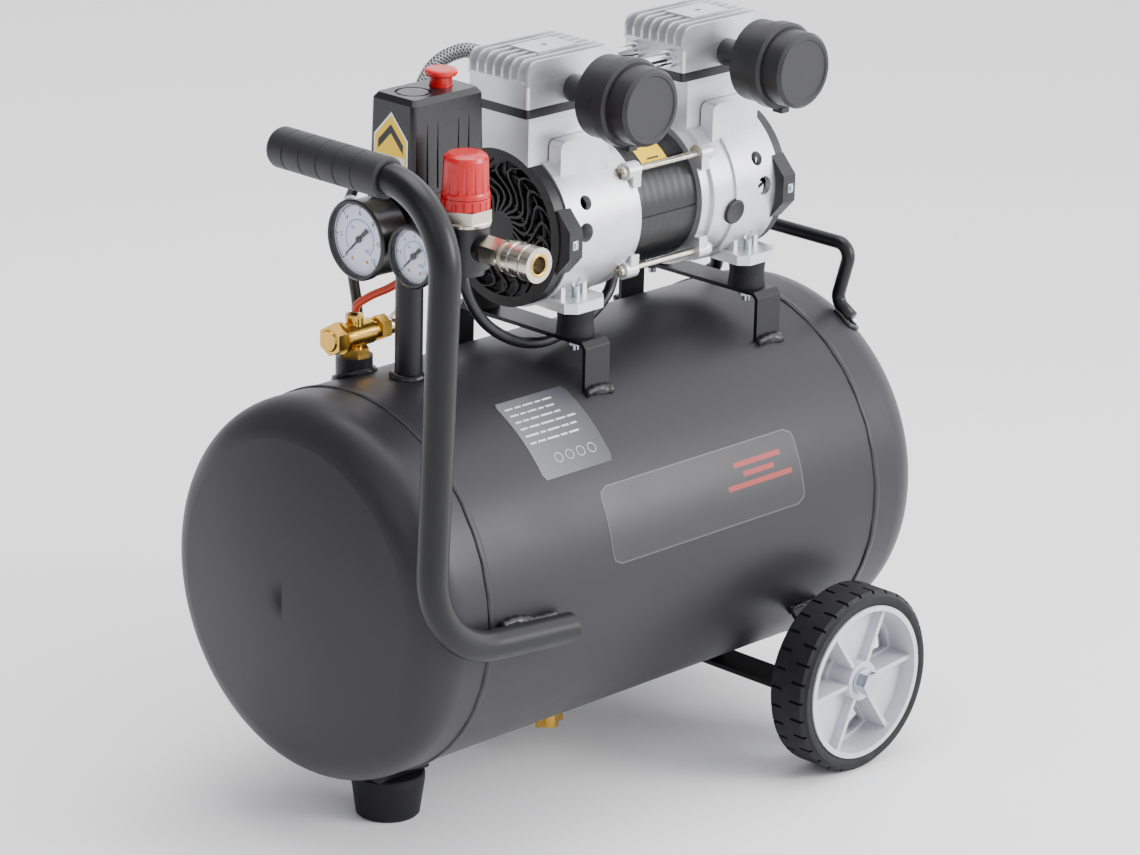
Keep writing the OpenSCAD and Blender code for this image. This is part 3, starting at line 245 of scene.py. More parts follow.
def raise_by(made, height, distance_mm, strength=1.0):
    """Adds a second relief to a finish, on top of its grain."""
    bump = add(made["mat"], "Bump", {"Height": height, "Distance": distance_mm * MM, "Strength": strength,
                                     "Normal": made["bump"].outputs["Normal"]})
    made["mat"].node_tree.links.new(bump.outputs["Normal"], made["shader"].inputs["Normal"])
    made["bump"] = bump


print("a finish takes its grain and cloud in millimetres")

# %% [markdown]
# ## Powder coat on steel
# The tank, the brackets and the handles are steel, sprayed with powder and baked. The powder melts into a
# satin skin with a faint orange peel, about a millimetre across, which softens every highlight. The tank's
# coat is a dark warm grey and the handles' is nearly black.

# %% Powder coats
tank_coat = finish("powder_coat_dark_grey", "232226", 0.42, grain_mm=0.9, depth_mm=0.012, shift=0.04, cloud_mm=90,
                   Specular_IOR_Level=0.32)
coat_peel = add(tank_coat["mat"], "TexNoise", {"Vector": tank_coat["where"].outputs["Object"],
                                               "Scale": 1000 / 2.4, "Detail": 1.0})
raise_by(tank_coat, coat_peel.outputs["Fac"], 0.03, 0.6)
frame_coat = finish("powder_coat_black", "0f0f11", 0.36, grain_mm=0.8, depth_mm=0.02, shift=0.06,
                    Specular_IOR_Level=0.32)
weld_coat = finish("powder_coat_over_weld", "161618", 0.3, grain_mm=1.6, depth_mm=0.12, shift=0.12, cloud_mm=8,
                   Specular_IOR_Level=0.4)
print("powder coats:", tank_coat["mat"].name, frame_coat["mat"].name, weld_coat["mat"].name)

# %% [markdown]
# ## Rubber and moulded plastic
# Rubber scatters light at a wide angle, so its roughness is high and its specular is low. Moulded ABS and
# nylon take the fine spark pattern of their steel mould, a few tenths of a millimetre across.

# %% Rubbers
rubber = finish("rubber_moulded_black", "0f0f11", 0.62, grain_mm=0.6, depth_mm=0.03, shift=0.12, cloud_mm=12,
                Specular_IOR_Level=0.3)
grip_rubber = finish("rubber_grip_soft_touch", "1d1d20", 0.55, grain_mm=0.5, depth_mm=0.03, shift=0.08)
tyre_rubber = finish("rubber_tyre", "131315", 0.68, grain_mm=0.8, depth_mm=0.06, shift=0.14, cloud_mm=9,
                     Specular_IOR_Level=0.35)
print("rubbers:", rubber["mat"].name, grip_rubber["mat"].name, tyre_rubber["mat"].name)

# %% Plastics
case_abs = finish("abs_black_spark_textured", "101012", 0.27, grain_mm=0.35, depth_mm=0.012, shift=0.05)
filter_nylon = finish("nylon_black_matte", "1a1a1d", 0.47, grain_mm=0.5, depth_mm=0.03, shift=0.08, cloud_mm=15)
fan_nylon = finish("nylon_black_glass_filled", "0e0e10", 0.42, grain_mm=0.4, depth_mm=0.03, shift=0.1, cloud_mm=12)
red_abs = finish("abs_red_gloss", "bb0008", 0.26, grain_mm=1.2, depth_mm=0.004, shift=0.03, Coat_Weight=0.05,
                 Coat_Roughness=0.08)
wheel_nylon = finish("polypropylene_white_moulded", "bfc0c6", 0.42, grain_mm=0.6, depth_mm=0.02, shift=0.025,
                     cloud_mm=25)
sheath = finish("pvc_sheath_black", "111113", 0.38, grain_mm=0.7, depth_mm=0.02, shift=0.08, cloud_mm=10)
print("plastics:", case_abs["mat"].name, filter_nylon["mat"].name, red_abs["mat"].name)

# %% [markdown]
# ## Cast and plated metals
# The pump's castings are aluminium from a die, blasted to a sparkling silver. A metal's colour is its
# reflection, so metallic is high and roughness sets the mood: 0.4 on the blasted castings, 0.1 on chrome.
# Zinc plate is bluish, nickel is warm, and brass shows the tool marks of the lathe.

# %% Castings and plated steel
casting = finish("aluminium_die_cast_blasted", "d6d7da", 0.38, 0.82, grain_mm=0.7, depth_mm=0.05, shift=0.05,
                 cloud_mm=18)
sparkle = add(casting["mat"], "TexVoronoi", {"Vector": casting["where"].outputs["Object"], "Scale": 1000 / 0.9})
raise_by(casting, sparkle.outputs["Distance"], 0.05, 0.5)
chrome = finish("chrome_plated_tube", "d9dbde", 0.1, 1.0, grain_mm=3, depth_mm=0.003, shift=0.02)
nickel = finish("nickel_plated_steel", "c6bdb0", 0.24, 1.0, grain_mm=0.5, depth_mm=0.006, shift=0.05, cloud_mm=6)
zinc = finish("zinc_plated_steel", "bcc4cb", 0.3, 1.0, grain_mm=0.5, depth_mm=0.012, shift=0.08, cloud_mm=5)
rod_zinc = finish("zinc_yellow_passivated", "c9c6b4", 0.26, 1.0, grain_mm=0.4, depth_mm=0.01, shift=0.12,
                  cloud_mm=7)
steel = finish("steel_machined", "9fa1a6", 0.32, 1.0, grain_mm=0.3, depth_mm=0.008, shift=0.06, cloud_mm=10)
bright_aluminium = finish("aluminium_machined", "c9cbcf", 0.3, 1.0, grain_mm=0.3, depth_mm=0.008, shift=0.05)
brass = finish("brass_machined", "d3a850", 0.24, 1.0, grain_mm=0.35, depth_mm=0.01, shift=0.1, cloud_mm=6)
black_steel = finish("steel_black_enamel", "101012", 0.33, grain_mm=0.9, depth_mm=0.012, shift=0.06)
print("metals:", casting["mat"].name, chrome["mat"].name, brass["mat"].name)

# %% [markdown]
# ## Laminated stator
# The motor's core is a stack of stamped sheets half a millimetre thick, dipped in black varnish. Stripes
# drawn that fine would not show, so they are drawn 7.5 mm apart along the motor's axis, which is X. A wave
# texture of scale 1 repeats every tenth of pi.

# %% Stack of laminations
STRIPE_MM = 2 * math.pi * 1.2
stack = finish("steel_laminations_varnished", "0e0f11", 0.36, grain_mm=0.7, depth_mm=0.02, shift=0.1, cloud_mm=10)
stripes = add(stack["mat"], "TexWave", {"Vector": stack["where"].outputs["Object"],
                                        "Scale": 1000 / STRIPE_MM * math.pi / 10},
              bands_direction="X")
raise_by(stack, stripes.outputs["Fac"], 0.12, 0.7)
print("stripes of laminations", round(STRIPE_MM, 1), "mm apart")

# %% [markdown]
# ## Gauge, braid, tube and glass
# The dials are printed tin, faintly blue. The delivery hose wears a braid of stainless wire, which is a
# pair of crossed waves on the tube's own UV map. The red tube is nylon, and the lenses are clear glass
# thin enough to let the printing through.

# %% Dial tin, needle, braid, red tube and glass
dial_tin = finish("tin_printed_white", "dde6f6", 0.5, grain_mm=1.0, depth_mm=0.002, shift=0.02)
ink_black = finish("ink_black", "1b1c22", 0.5, grain_mm=1.0, depth_mm=0.002, shift=0.02)
ink_red = finish("ink_red", "d12c2c", 0.5, grain_mm=1.0, depth_mm=0.002, shift=0.02)
ink_blue = finish("ink_blue", "2a5fb4", 0.5, grain_mm=1.0, depth_mm=0.002, shift=0.02)
tube_nylon = finish("nylon_tube_red", "c23b22", 0.22, grain_mm=1.0, depth_mm=0.005, shift=0.06, Coat_Weight=0.3,
                    Coat_Roughness=0.1)
WIRES_ROUND, WIRE_PITCH_MM = 14, 2.6
braid = finish("stainless_wire_braid", "8f9194", 0.34, 0.9, grain_mm=0.5, depth_mm=0.01, shift=0.1, cloud_mm=5)
uv = add(braid["mat"], "SeparateXYZ", {0: add(braid["mat"], "UVMap").outputs[0]})
ways = []
for sign in (1, -1):
    along = add(braid["mat"], "Math", {0: uv.outputs[0], 1: 1 / WIRE_PITCH_MM}, operation="MULTIPLY")
    round_it = add(braid["mat"], "Math", {0: uv.outputs[1], 1: sign * WIRES_ROUND / 2}, operation="MULTIPLY")
    both = add(braid["mat"], "Math", {0: along.outputs[0], 1: round_it.outputs[0]}, operation="ADD")
    turned_by = add(braid["mat"], "Math", {0: both.outputs[0], 1: 2 * math.pi}, operation="MULTIPLY")
    ways.append(add(braid["mat"], "Math", {0: turned_by.outputs[0]}, operation="SINE"))
weave = add(braid["mat"], "Math", {0: ways[0].outputs[0], 1: ways[1].outputs[0]}, operation="MAXIMUM")
raise_by(braid, weave.outputs[0], 0.35)
gaps = add(braid["mat"], "MapRange", {"Value": weave.outputs[0], "From Min": -0.6, "From Max": 0.3, "To Min": 1.0,
                                      "To Max": 0.0})
recolour(braid, gaps.outputs["Result"], "26272a")
LENS_ALPHA = 0.05
glass = bpy.data.materials.new("glass_gauge_lens")
glass.use_nodes = True
clear = glass.node_tree.nodes["Principled BSDF"]
for socket, value in {"Base Color": (1, 1, 1, 1), "Roughness": 0.04, "IOR": 1.5, "Alpha": LENS_ALPHA}.items():
    clear.inputs[socket].default_value = value
smudge = add(glass, "TexNoise", {"Vector": add(glass, "TexCoord").outputs["Object"], "Scale": 60.0})
glass.node_tree.links.new(add(glass, "MapRange", {"Value": smudge.outputs["Fac"], "To Min": 0.03, "To Max": 0.08}
                              ).outputs["Result"], clear.inputs["Roughness"])
print("braid of", WIRES_ROUND, "wires, and the glass lets", round(100 * (1 - LENS_ALPHA)), "% through")

# %% [markdown]
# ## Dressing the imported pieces
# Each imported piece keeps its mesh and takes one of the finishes.

# %% Hand out the finishes
DRESS = {
    "tank_barrel tank_heads tank_bungs": tank_coat,
    "foot_bracket axle_bracket pump_brackets switch_post": frame_coat,
    "rubber_foot mount_rubbers": rubber,
    "handle_grip": grip_rubber,
    "wheel_bolts mount_bolts safety_valve_ring": zinc,
    "manifold regulator_body": black_steel,
    "switch_base switch_cover gauge_cases": case_abs,
    "switch_knob regulator_knob regulator_lock_ring": red_abs,
    "regulator_nut coupler_body coupler_sleeve": nickel,
    "gauge_dials": dial_tin,
    "tank_gauge_needle outlet_gauge_needle": ink_black,
    "safety_valve_body check_valve_body check_valve_cap drain_valve_body drain_valve_knob": brass,
    "crankcases cylinder_heads": casting,
    "cylinder_liners bearings rotor": steel,
    "piston_front piston_rear": bright_aluminium,
    "fan_covers cooling_fans": fan_nylon,
    "stator": stack,
    "valve_plates": black_steel,
    "tie_rods": rod_zinc,
    "transfer_pipes": chrome,
    "filter_bodies filter_cap_front filter_cap_rear": filter_nylon,
    "wheel_left wheel_right": wheel_nylon,
    "tyre_left tyre_right": tyre_rubber,
}
for names, made in DRESS.items():
    for name in names.split():
        for k in range(len(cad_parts[name].material_slots)):
            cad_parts[name].material_slots[k].link = "OBJECT"
            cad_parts[name].material_slots[k].material = made["mat"]
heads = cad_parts["tank_heads"]
normals = [n.vector.copy() for n in heads.data.corner_normals]
for loop in heads.data.loops:
    at = heads.matrix_world @ heads.data.vertices[loop.vertex_index].co
    if math.hypot(at.y, at.z - TANK_Z) < MM:  # the pole of the dome, where every facet's corner meets
        normals[loop.index] = Vector((math.copysign(1, normals[loop.index].x), 0, 0))
heads.data.normals_split_custom_set(normals)
print("dressed", sum(len(names.split()) for names in DRESS), "packed pieces")

# %% [markdown]
# ## Mains lead
# A compressor this size carries about 1.8 m of 8 mm PVC lead. It leaves the switch through a ribbed
# strain relief, drops behind the post and down the tank's far side, and the rest is wound in a coil on the
# floor. The coil is a spiral in, a short climb, and a spiral out on top, so that no turn cuts another. A
# line is worked out first and a skin is carried along it, because the line's length is what counts.

# %% The lead's line, from gland to plug
LEAD_R = 4 * MM
lead_route = [Vector(p) * MM for p in (
    (-123, 38, 462), (-123, 50, 462), (-124, 67, 458), (-124, 81, 446), (-123, 88, 425), (-120, 87, 390),
    (-116, 84, 355), (-111, 90, 325), (-105, 106, 298), (-98, 126, 270), (-92, 142, 236), (-88, 148, 195),
    (-86, 149, 140), (-84, 150, 90), (-83, 151, 62), (-80, 154, 37), (-73, 162, 16), (-62, 174, 6.5),
    (-49, 188, 4.3), (-37, 202, 4.1), (-25, 218, 4))]
lead_tail = [Vector(p) * MM for p in ((34, 142, 12), (14, 137, 11), (-5, 131, 9), (-15, 129, 9))]
COIL = Vector((20, 192, 0)) * MM
OUTER, INNER, LAYER = 52 * MM, 32.6 * MM, 8.1 * MM
END_ANGLE = math.radians(-75)


def coil_line(turns_in, climb, turns_out, start_angle):
    """Clockwise seen from above: in along the floor, up a layer, and out again."""
    made, steps = [], 26
    total = turns_in + climb + turns_out
    for i in range(int(total * steps) + 1):
        t = min(i / steps, total)
        if t < turns_in:
            r, z = OUTER + (INNER - OUTER) * t / turns_in, LEAD_R
        elif t < turns_in + climb:
            u = (t - turns_in) / climb
            r, z = INNER, LEAD_R + LAYER * (3 * u * u - 2 * u ** 3)
        else:
            r, z = INNER + (OUTER - INNER) * (t - turns_in - climb) / turns_out, LEAD_R + LAYER
        a = start_angle - 2 * math.pi * t
        made.append(COIL + Vector((r * math.cos(a), r * math.sin(a), z)))
    return made


start_angle = math.radians(150)
whole = (start_angle - END_ANGLE) / (2 * math.pi)
CLIMB = 0.22
turns = whole + 4 - CLIMB
coil = coil_line(turns / 2, CLIMB, turns / 2, start_angle)
lead_line = evenly(curve_through(lead_route, 8), 40) + coil[1:] + evenly(curve_through(lead_tail, 6), 8)[1:]
print("lead", round(length_of(lead_line), 3), "m, of which the coil", round(length_of(coil), 3))

# %% Skin, strain relief and plug
def ribbed(radius, end_radius, length, pitch, depth):
    """A taper with ribs: a radius that depends on the distance along."""
    def at(walked, turn):
        rib = depth * (0.5 + 0.5 * math.cos(2 * math.pi * walked / pitch))
        return radius + (end_radius - radius) * min(1, walked / length) - rib
    return at


def block(name, size, matrix, material, bevel, body=BODY, taper=1.0):
    """A cuboid with rounded edges. taper narrows its +X end."""
    bm = bmesh.new()
    bmesh.ops.create_cube(bm, size=1.0)
    for v in bm.verts:
        narrow = taper if v.co.x > 0 else 1.0
        v.co = Vector((v.co.x * size[0], v.co.y * size[1] * narrow, v.co.z * size[2] * narrow))
    bmesh.ops.bevel(bm, geom=bm.edges[:], offset=bevel, segments=3, profile=0.5, affect="EDGES")
    bm.transform(matrix)
    mesh = bpy.data.meshes.new(name)
    bm.to_mesh(mesh)
    bm.free()
    mesh.materials.append(material)
    mesh.polygons.foreach_set("use_smooth", [True] * len(mesh.polygons))
    piece = bpy.data.objects.new(name, mesh)
    bpy.context.scene.collection.objects.link(piece)
    modifier = piece.modifiers.new("flat faces", "WEIGHTED_NORMAL")
    modifier.keep_sharp = True
    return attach(piece, body)


BOOT = 30 * MM
PLUG_BOOT = 16 * MM
PLUG_TURN = math.radians(15)
boot_line = [p for p in evenly(curve_through(lead_route, 8), 200) if (p - lead_route[0]).length < BOOT]
boot = tube("lead_strain_relief", boot_line, ribbed(6.6 * MM, 4.8 * MM, BOOT, 4 * MM, 0.5 * MM), rubber["mat"],
            side=(1, 0, 0))
lead = tube("mains_lead_skin", lead_line, LEAD_R, sheath["mat"], sides=12, side=(1, 0, 0))
plug_end = lead_tail[-1]
plug_ahead = Vector((-math.cos(PLUG_TURN), -math.sin(PLUG_TURN), 0))
plug_turn = Matrix((plug_ahead, Vector((0, 0, 1)).cross(plug_ahead), Vector((0, 0, 1)))).transposed().to_4x4()
plug = block("mains_plug_body", (35.4 * MM, 25.4 * MM, 17.4 * MM),
             Matrix.Translation(plug_end + plug_ahead * 18 * MM) @ plug_turn, case_abs["mat"], 4 * MM, taper=0.86)
plug_boot = tube("mains_plug_boot", [plug_end - plug_ahead * d * MM for d in range(0, 16, 1)],
                 ribbed(6.5 * MM, 4.6 * MM, PLUG_BOOT, 4 * MM, 0.5 * MM), rubber["mat"])
pin_profile = [(r * MM, h * MM) for r, h in ((0.4, -2), (2.4, -2), (2.4, 16), (1.9, 17.4), (0.8, 18.4),
                                             (0.01, 18.6))]
for k, across in enumerate((-9.5, 9.5)):
    root = plug_end + plug_turn.to_3x3() @ Vector((35 * MM, across * MM, 0))
    turned(f"mains_plug_pin_{k}", pin_profile, root, plug_ahead, nickel["mat"], sides=20)
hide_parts("mains_lead", "lead_coil")
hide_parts("mains_plug")
print("strain relief", BOOT / MM, "mm, plug", plug.name)

# %% [markdown]
# ## Motor lead, braided hose and red tube
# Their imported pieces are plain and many-sided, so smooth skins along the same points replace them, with
# a ferrule crimped on each end of the hose.

# %% Skins along the fixed lines
motor_line = curve_through([Vector(p) * MM for p in (
    (-105, -12, 445), (-106, -14, 420), (-108, -20, 390), (-92, -22, 364), (-66, -24, 346), (-36, -22, 337),
    (-6, -16, 336), (30, -8, 340), (56, -2, 352), (65, 0, 372))], 8)
hose_line = curve_through([Vector(p) * MM for p in (
    (-120, 50, 350), (-108, 50, 352), (-92, 58, 366), (-80, 70, 396), (-74, 76, 440), (-66, 80, 490),
    (-48, 80, 522), (-28, 70, 534), (-15, 56, 531), (-13, 44, 525), (-13, 36, 524))], 8)
red_line = curve_through([Vector(p) * MM for p in (
    (-150, 50, 368), (-149, 48, 373), (-143, 40, 380), (-134, 28, 388), (-122, 16, 402), (-113, 11, 422),
    (-111, 12, 443))], 8)
motor_skin = tube("motor_lead_skin", motor_line, 4.2 * MM, sheath["mat"], side=(0, 1, 0))
hose_skin = tube("delivery_hose_skin", hose_line, 5.5 * MM, braid["mat"], sides=24, side=(0, 0, 1))
red_skin = tube("unloader_tube_skin", red_line, 3 * MM, tube_nylon["mat"], side=(1, 0, 0))
for skin, node in ((motor_skin, "motor_lead"), (hose_skin, "delivery_hose"), (red_skin, "unloader_tube")):
    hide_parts(node)
for k, line in enumerate((hose_line, hose_line[::-1])):
    ends = [p for p in line if (p - line[0]).length < 16 * MM]
    tube(f"hose_ferrule_{k}", ends, ribbed(6.9 * MM, 6.9 * MM, 20 * MM, 5 * MM, 0.35 * MM), nickel["mat"],
                 sides=32)
print("motor lead", round(length_of(motor_line), 3), "m, hose", round(length_of(hose_line), 3), "m")

# %% [markdown]
# ## Handles
# The push handle is one steel tube, bent twice on a mandrel, and the carry handle is a bent rod. The packed
# pieces have flat sides along them, so smooth skins on the same centre lines take over. Each bend is an
# arc between two straight runs.

# %% Bent tubes
def bent_line(corners, bends, steps=18):
    """Straight runs joined by arcs of the given radii."""
    line = [corners[0]]
    for p, q, s, r in zip(corners, corners[1:], corners[2:], bends):
        a, b = (q - p).normalized(), (s - q).normalized()
        half = a.angle(b) / 2
        n = a.cross(b).normalized().cross(a)
        centre = q - a * r * math.tan(half) + n * r
        line += [centre + r * (a * math.sin(2 * half * k / steps) - n * math.cos(2 * half * k / steps))
                 for k in range(steps + 1)]
    return line + [corners[-1]]


MID = 5.32133 * MM  # from the middle of the frame to the tank's own middle, along X
HANDLE_R, LOW_BEND, TOP_BEND = 11 * MM, 66 * MM, 58 * MM
HANDLE_Y, GRIP_END_Y = -0.151, 0.01
CORNER_Z, GRIP_Z = 0.1905, 0.515
LEAN, STUB_SLOPE = math.tan(math.radians(2.3)), math.tan(math.radians(5))
corner_x, stub_x = -0.273 + MID, -0.136 + MID
top_x = corner_x + (GRIP_Z - CORNER_Z) * LEAN
handle_corners = [Vector((stub_x, HANDLE_Y, CORNER_Z - (stub_x - corner_x) * STUB_SLOPE)),
                  Vector((corner_x, HANDLE_Y, CORNER_Z)), Vector((top_x, HANDLE_Y, GRIP_Z)),
                  Vector((top_x, GRIP_END_Y, GRIP_Z))]
handle_line = bent_line(handle_corners, (LOW_BEND, TOP_BEND))
handle = tube("push_handle_skin", handle_line, HANDLE_R, frame_coat["mat"], sides=40, side=(0, 1, 0),
                      caps=False)
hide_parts("push_handle")
turned("coupler_seal_seat", [(6.2 * MM, -0.4 * MM), (6.3 * MM, 0.25 * MM), (8.2 * MM, 0.25 * MM),
                                     (8.6 * MM, -0.3 * MM)], (POST_X, -0.1277, HEAD_Z), (0, -1, 0), brass["mat"])
stub_ahead = (handle_line[0] - handle_line[1]).normalized()
turned("handle_end_plug", [(0.001, 1 * MM), (6.5 * MM, 1 * MM), (8.6 * MM, 0.6 * MM), (9.4 * MM, -0.2 * MM),
                           (9.6 * MM, -1.5 * MM), (9.6 * MM, -12 * MM)],
       handle_line[0] - stub_ahead * 1.2 * MM, stub_ahead, rubber["mat"])
turned("handle_end_rim", [(9.5 * MM, -4 * MM), (9.6 * MM, -0.2 * MM), (10.2 * MM, 0), (10.8 * MM, -0.2 * MM),
                          (11.02 * MM, -0.8 * MM)], handle_line[0], stub_ahead, frame_coat["mat"])
KNUCKLE_R, CARRY_R, CARRY_WELD = 32, 5.2, 0.15
HEAD_FLANGE, PAST_FLANGE = 25, 12
CARRY_TOE, CARRY_WAIST, CARRY_TOP_Y, CARRY_TOP_Z = 76.5, 61, 0.074, 0.366
carry_x = SEAM_X + (HEAD_FLANGE + PAST_FLANGE) * MM + MID


def knuckle_point(y, lift_mm, off=0.0):
    """A point over the head's knuckle at y mm, off mm further along the tank than the carry handle."""
    r = TANK_R / MM - KNUCKLE_R + math.sqrt((KNUCKLE_R + lift_mm) ** 2 - (PAST_FLANGE + off) ** 2)
    return Vector((carry_x + off * MM, y * MM, TANK_Z + math.sqrt(r * r - y * y) * MM))


toe = knuckle_point(CARRY_TOE, CARRY_R - CARRY_WELD)
waist = knuckle_point(CARRY_WAIST, CARRY_R - CARRY_WELD) + Vector((0, 0, 1.6 * MM))
carry_corners = [toe, waist, Vector((carry_x, CARRY_TOP_Y, CARRY_TOP_Z))]
carry_corners = [Vector((p.x, -p.y, p.z)) for p in carry_corners] + carry_corners[::-1]
carry_line = bent_line(carry_corners, (10 * MM,) * 4, 10)
carry = tube("carry_handle_skin", carry_line, CARRY_R * MM, frame_coat["mat"], sides=24, side=(1, 0, 0))
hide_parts("carry_handle")

# %% [markdown]
# ## Weld beads
# A weld bead is a row of small ripples left by the arc, and under powder coat its edges are soft. Each bead
# is a tube whose radius swells and shrinks along its line, sunk halfway into the joint. The lumps come
# from sines of the distance, so they are the same each time.

# %% Beads on the tank and at each bracket
def lumpy(radius, pitch=5 * MM, swell=0.16, seed=0.0):
    """A weld bead's radius, which changes with the distance along it and round it."""
    def at(walked, turn):
        ripple = math.sin(2 * math.pi * walked / pitch + seed)
        drift = math.sin(walked / (0.9 * pitch) + 2 * turn + seed * 3) + math.sin(walked / (1.7 * pitch) - turn)
        return radius * (1 + 0.4 * swell * ripple + swell * drift)
    return at


def tank_point(x, y, lift=0.0):
    """A point on top of the barrel."""
    return Vector((x, y, TANK_Z + math.sqrt(max(0.0, TANK_R ** 2 - y * y)) + lift))


def bead(name, line, radius, closed=False, pitch=5 * MM, swell=0.16, side=(0, 0, 1), flat=1.0, mat=None,
         seed=0.0):
    """One bead along a line. flat below 1 makes it lower than it is wide."""
    mat = mat or weld_coat["mat"]
    return tube(name, line, lumpy(radius, pitch, swell, seed), mat, closed=closed, side=side, flat=flat,
                        sides=14)


for k, x in enumerate((-SEAM_X, SEAM_X)):
    ring = [Vector((x + MID, TANK_R * math.cos(a), TANK_Z + TANK_R * math.sin(a)))
            for a in (2 * math.pi * i / 720 for i in range(720))]
    bead(f"tank_seam_{k}", ring, 3.0 * MM, True, 4 * MM, 0.05, (0, 1, 0), 0.42, tank_coat["mat"], k)
for name, x, y, r, size in (("weld_post", POST_X, 0, 10.5 * MM, 3.2 * MM),
                            ("weld_bung", BUNG_X, BUNG_Y, 14 * MM, 2.8 * MM)):
    ring = [tank_point(x + r * math.cos(a), y + r * math.sin(a), 0.8 * MM)
            for a in (2 * math.pi * i / 90 for i in range(90))]
    bead(name, ring, size, True, 4.5 * MM, 0.1)
STRIP_GAP, STRIP_W, STRIP_LEG_Y = 91 * MM, 25 * MM, 72.6 * MM
for k, (x, s) in enumerate([(PUMP_X + d * STRIP_GAP, s) for d in (-1, 1) for s in (-1, 1)]):
    line = [tank_point(x + (i / 20 - 0.5) * STRIP_W, s * STRIP_LEG_Y, 0.6 * MM) for i in range(21)]
    bead(f"weld_strip_{k}", line, 3.5 * MM, seed=k, swell=0.26, pitch=7 * MM)
line = [Vector((x, -0.1432, CORNER_Z - (x - corner_x) * STUB_SLOPE + 7.6 * MM))
        for x in (corner_x + (77 + 1.5 * i) * MM for i in range(36))]
bead("weld_stub", line, 4 * MM, swell=0.26, pitch=8 * MM)
leg_y = TANK_R * 0.845
for k, s in enumerate((-1, 1)):
    toe_weld = [knuckle_point(s * y, 0.5, off) for y, off in ((64, -4.6), (69, -5), (74, -5.2), (77.6, -4),
                                                              (78.6, 0), (77.6, 4), (74, 5.2), (69, 5), (64, 4.6))]
    bead(f"weld_carry_{k}", curve_through(toe_weld, 6), 2.1 * MM, pitch=4 * MM, swell=0.15)
    line = [Vector((AXLE_X + (i / 20 - 0.5) * 29 * MM, s * (leg_y + 1.5 * MM),
                    TANK_Z - math.sqrt(TANK_R ** 2 - leg_y ** 2) - 2.2 * MM)) for i in range(21)]
    bead(f"weld_axle_{k}", line, 2.6 * MM, seed=k, swell=0.25)
    line = [Vector((FOOT_X + (i / 24 - 0.5) * 46 * MM, s * 20.5 * MM, 0.0495)) for i in range(25)]
    bead(f"weld_foot_{k}", line, 2.2 * MM, seed=k, swell=0.2)

# %% [markdown]
# ## Gauge faces
# A pressure gauge is a pressed black case, a printed tin dial, a needle, and a glass lens pressed in front.
# The printing is thin ink, so each tick and numeral is a flat mesh a fifth of a millimetre in front of the
# tin. Left and right are as the reader sees them from the front, which is the -X side.

# %% Ticks, numerals, screws and lenses
GAUGE_X = POST_X - 53 * MM
DIAL_X = GAUGE_X + 5 * MM


def on_dial(cy, r, degrees, lift=0.2):
    """A point on a dial, at a radius in mm and an angle anticlockwise from the reader's right."""
    a = math.radians(degrees)
    return Vector((DIAL_X - lift * MM, cy - r * MM * math.cos(a), HEAD_Z + r * MM * math.sin(a)))


def ticks(name, cy, r0, r1, angles, half_mm, mat):
    """Radial lines from r0 to r1, one at each angle."""
    verts, faces = [], []
    for a in angles:
        side = math.degrees(half_mm / r1)
        verts += [on_dial(cy, r0, a - side), on_dial(cy, r0, a + side), on_dial(cy, r1, a + side),
                  on_dial(cy, r1, a - side)]
        faces.append(tuple(range(len(verts) - 4, len(verts))))
    return place(name, verts, faces, mat, smooth=False)


def arc(name, cy, r0, r1, a0, a1, mat, steps=60):
    """A printed band between two radii, from angle a0 to a1."""
    verts, faces = [], []
    for k in range(steps + 1):
        a = a0 + (a1 - a0) * k / steps
        verts += [on_dial(cy, r0, a, 0.16), on_dial(cy, r1, a, 0.16)]
        if k:
            n = len(verts)
            faces.append((n - 4, n - 3, n - 1, n - 2))
    return place(name, verts, faces, mat, smooth=False)


def numerals(name, cy, r, marks, height_mm, mat):
    """Upright figures set round a dial: marks maps an angle to its text."""
    verts, faces = [], []
    for angle, text in marks.items():
        font = bpy.data.curves.new(name, "FONT")
        font.body, font.size, font.align_x, font.align_y = text, height_mm * MM * 1.35, "CENTER", "CENTER"
        font.resolution_u = 3
        made = bpy.data.objects.new(name, font)
        bpy.context.scene.collection.objects.link(made)
        mesh = made.to_mesh()
        at, start = on_dial(cy, r, angle), len(verts)
        verts += [at + Vector((0, -v.co.x, v.co.y)) for v in mesh.vertices]
        faces += [tuple(start + v for v in f.vertices) for f in mesh.polygons]
        made.to_mesh_clear()
        bpy.data.objects.remove(made)
        bpy.data.curves.remove(font)
    return place(name, verts, faces, mat, smooth=False)


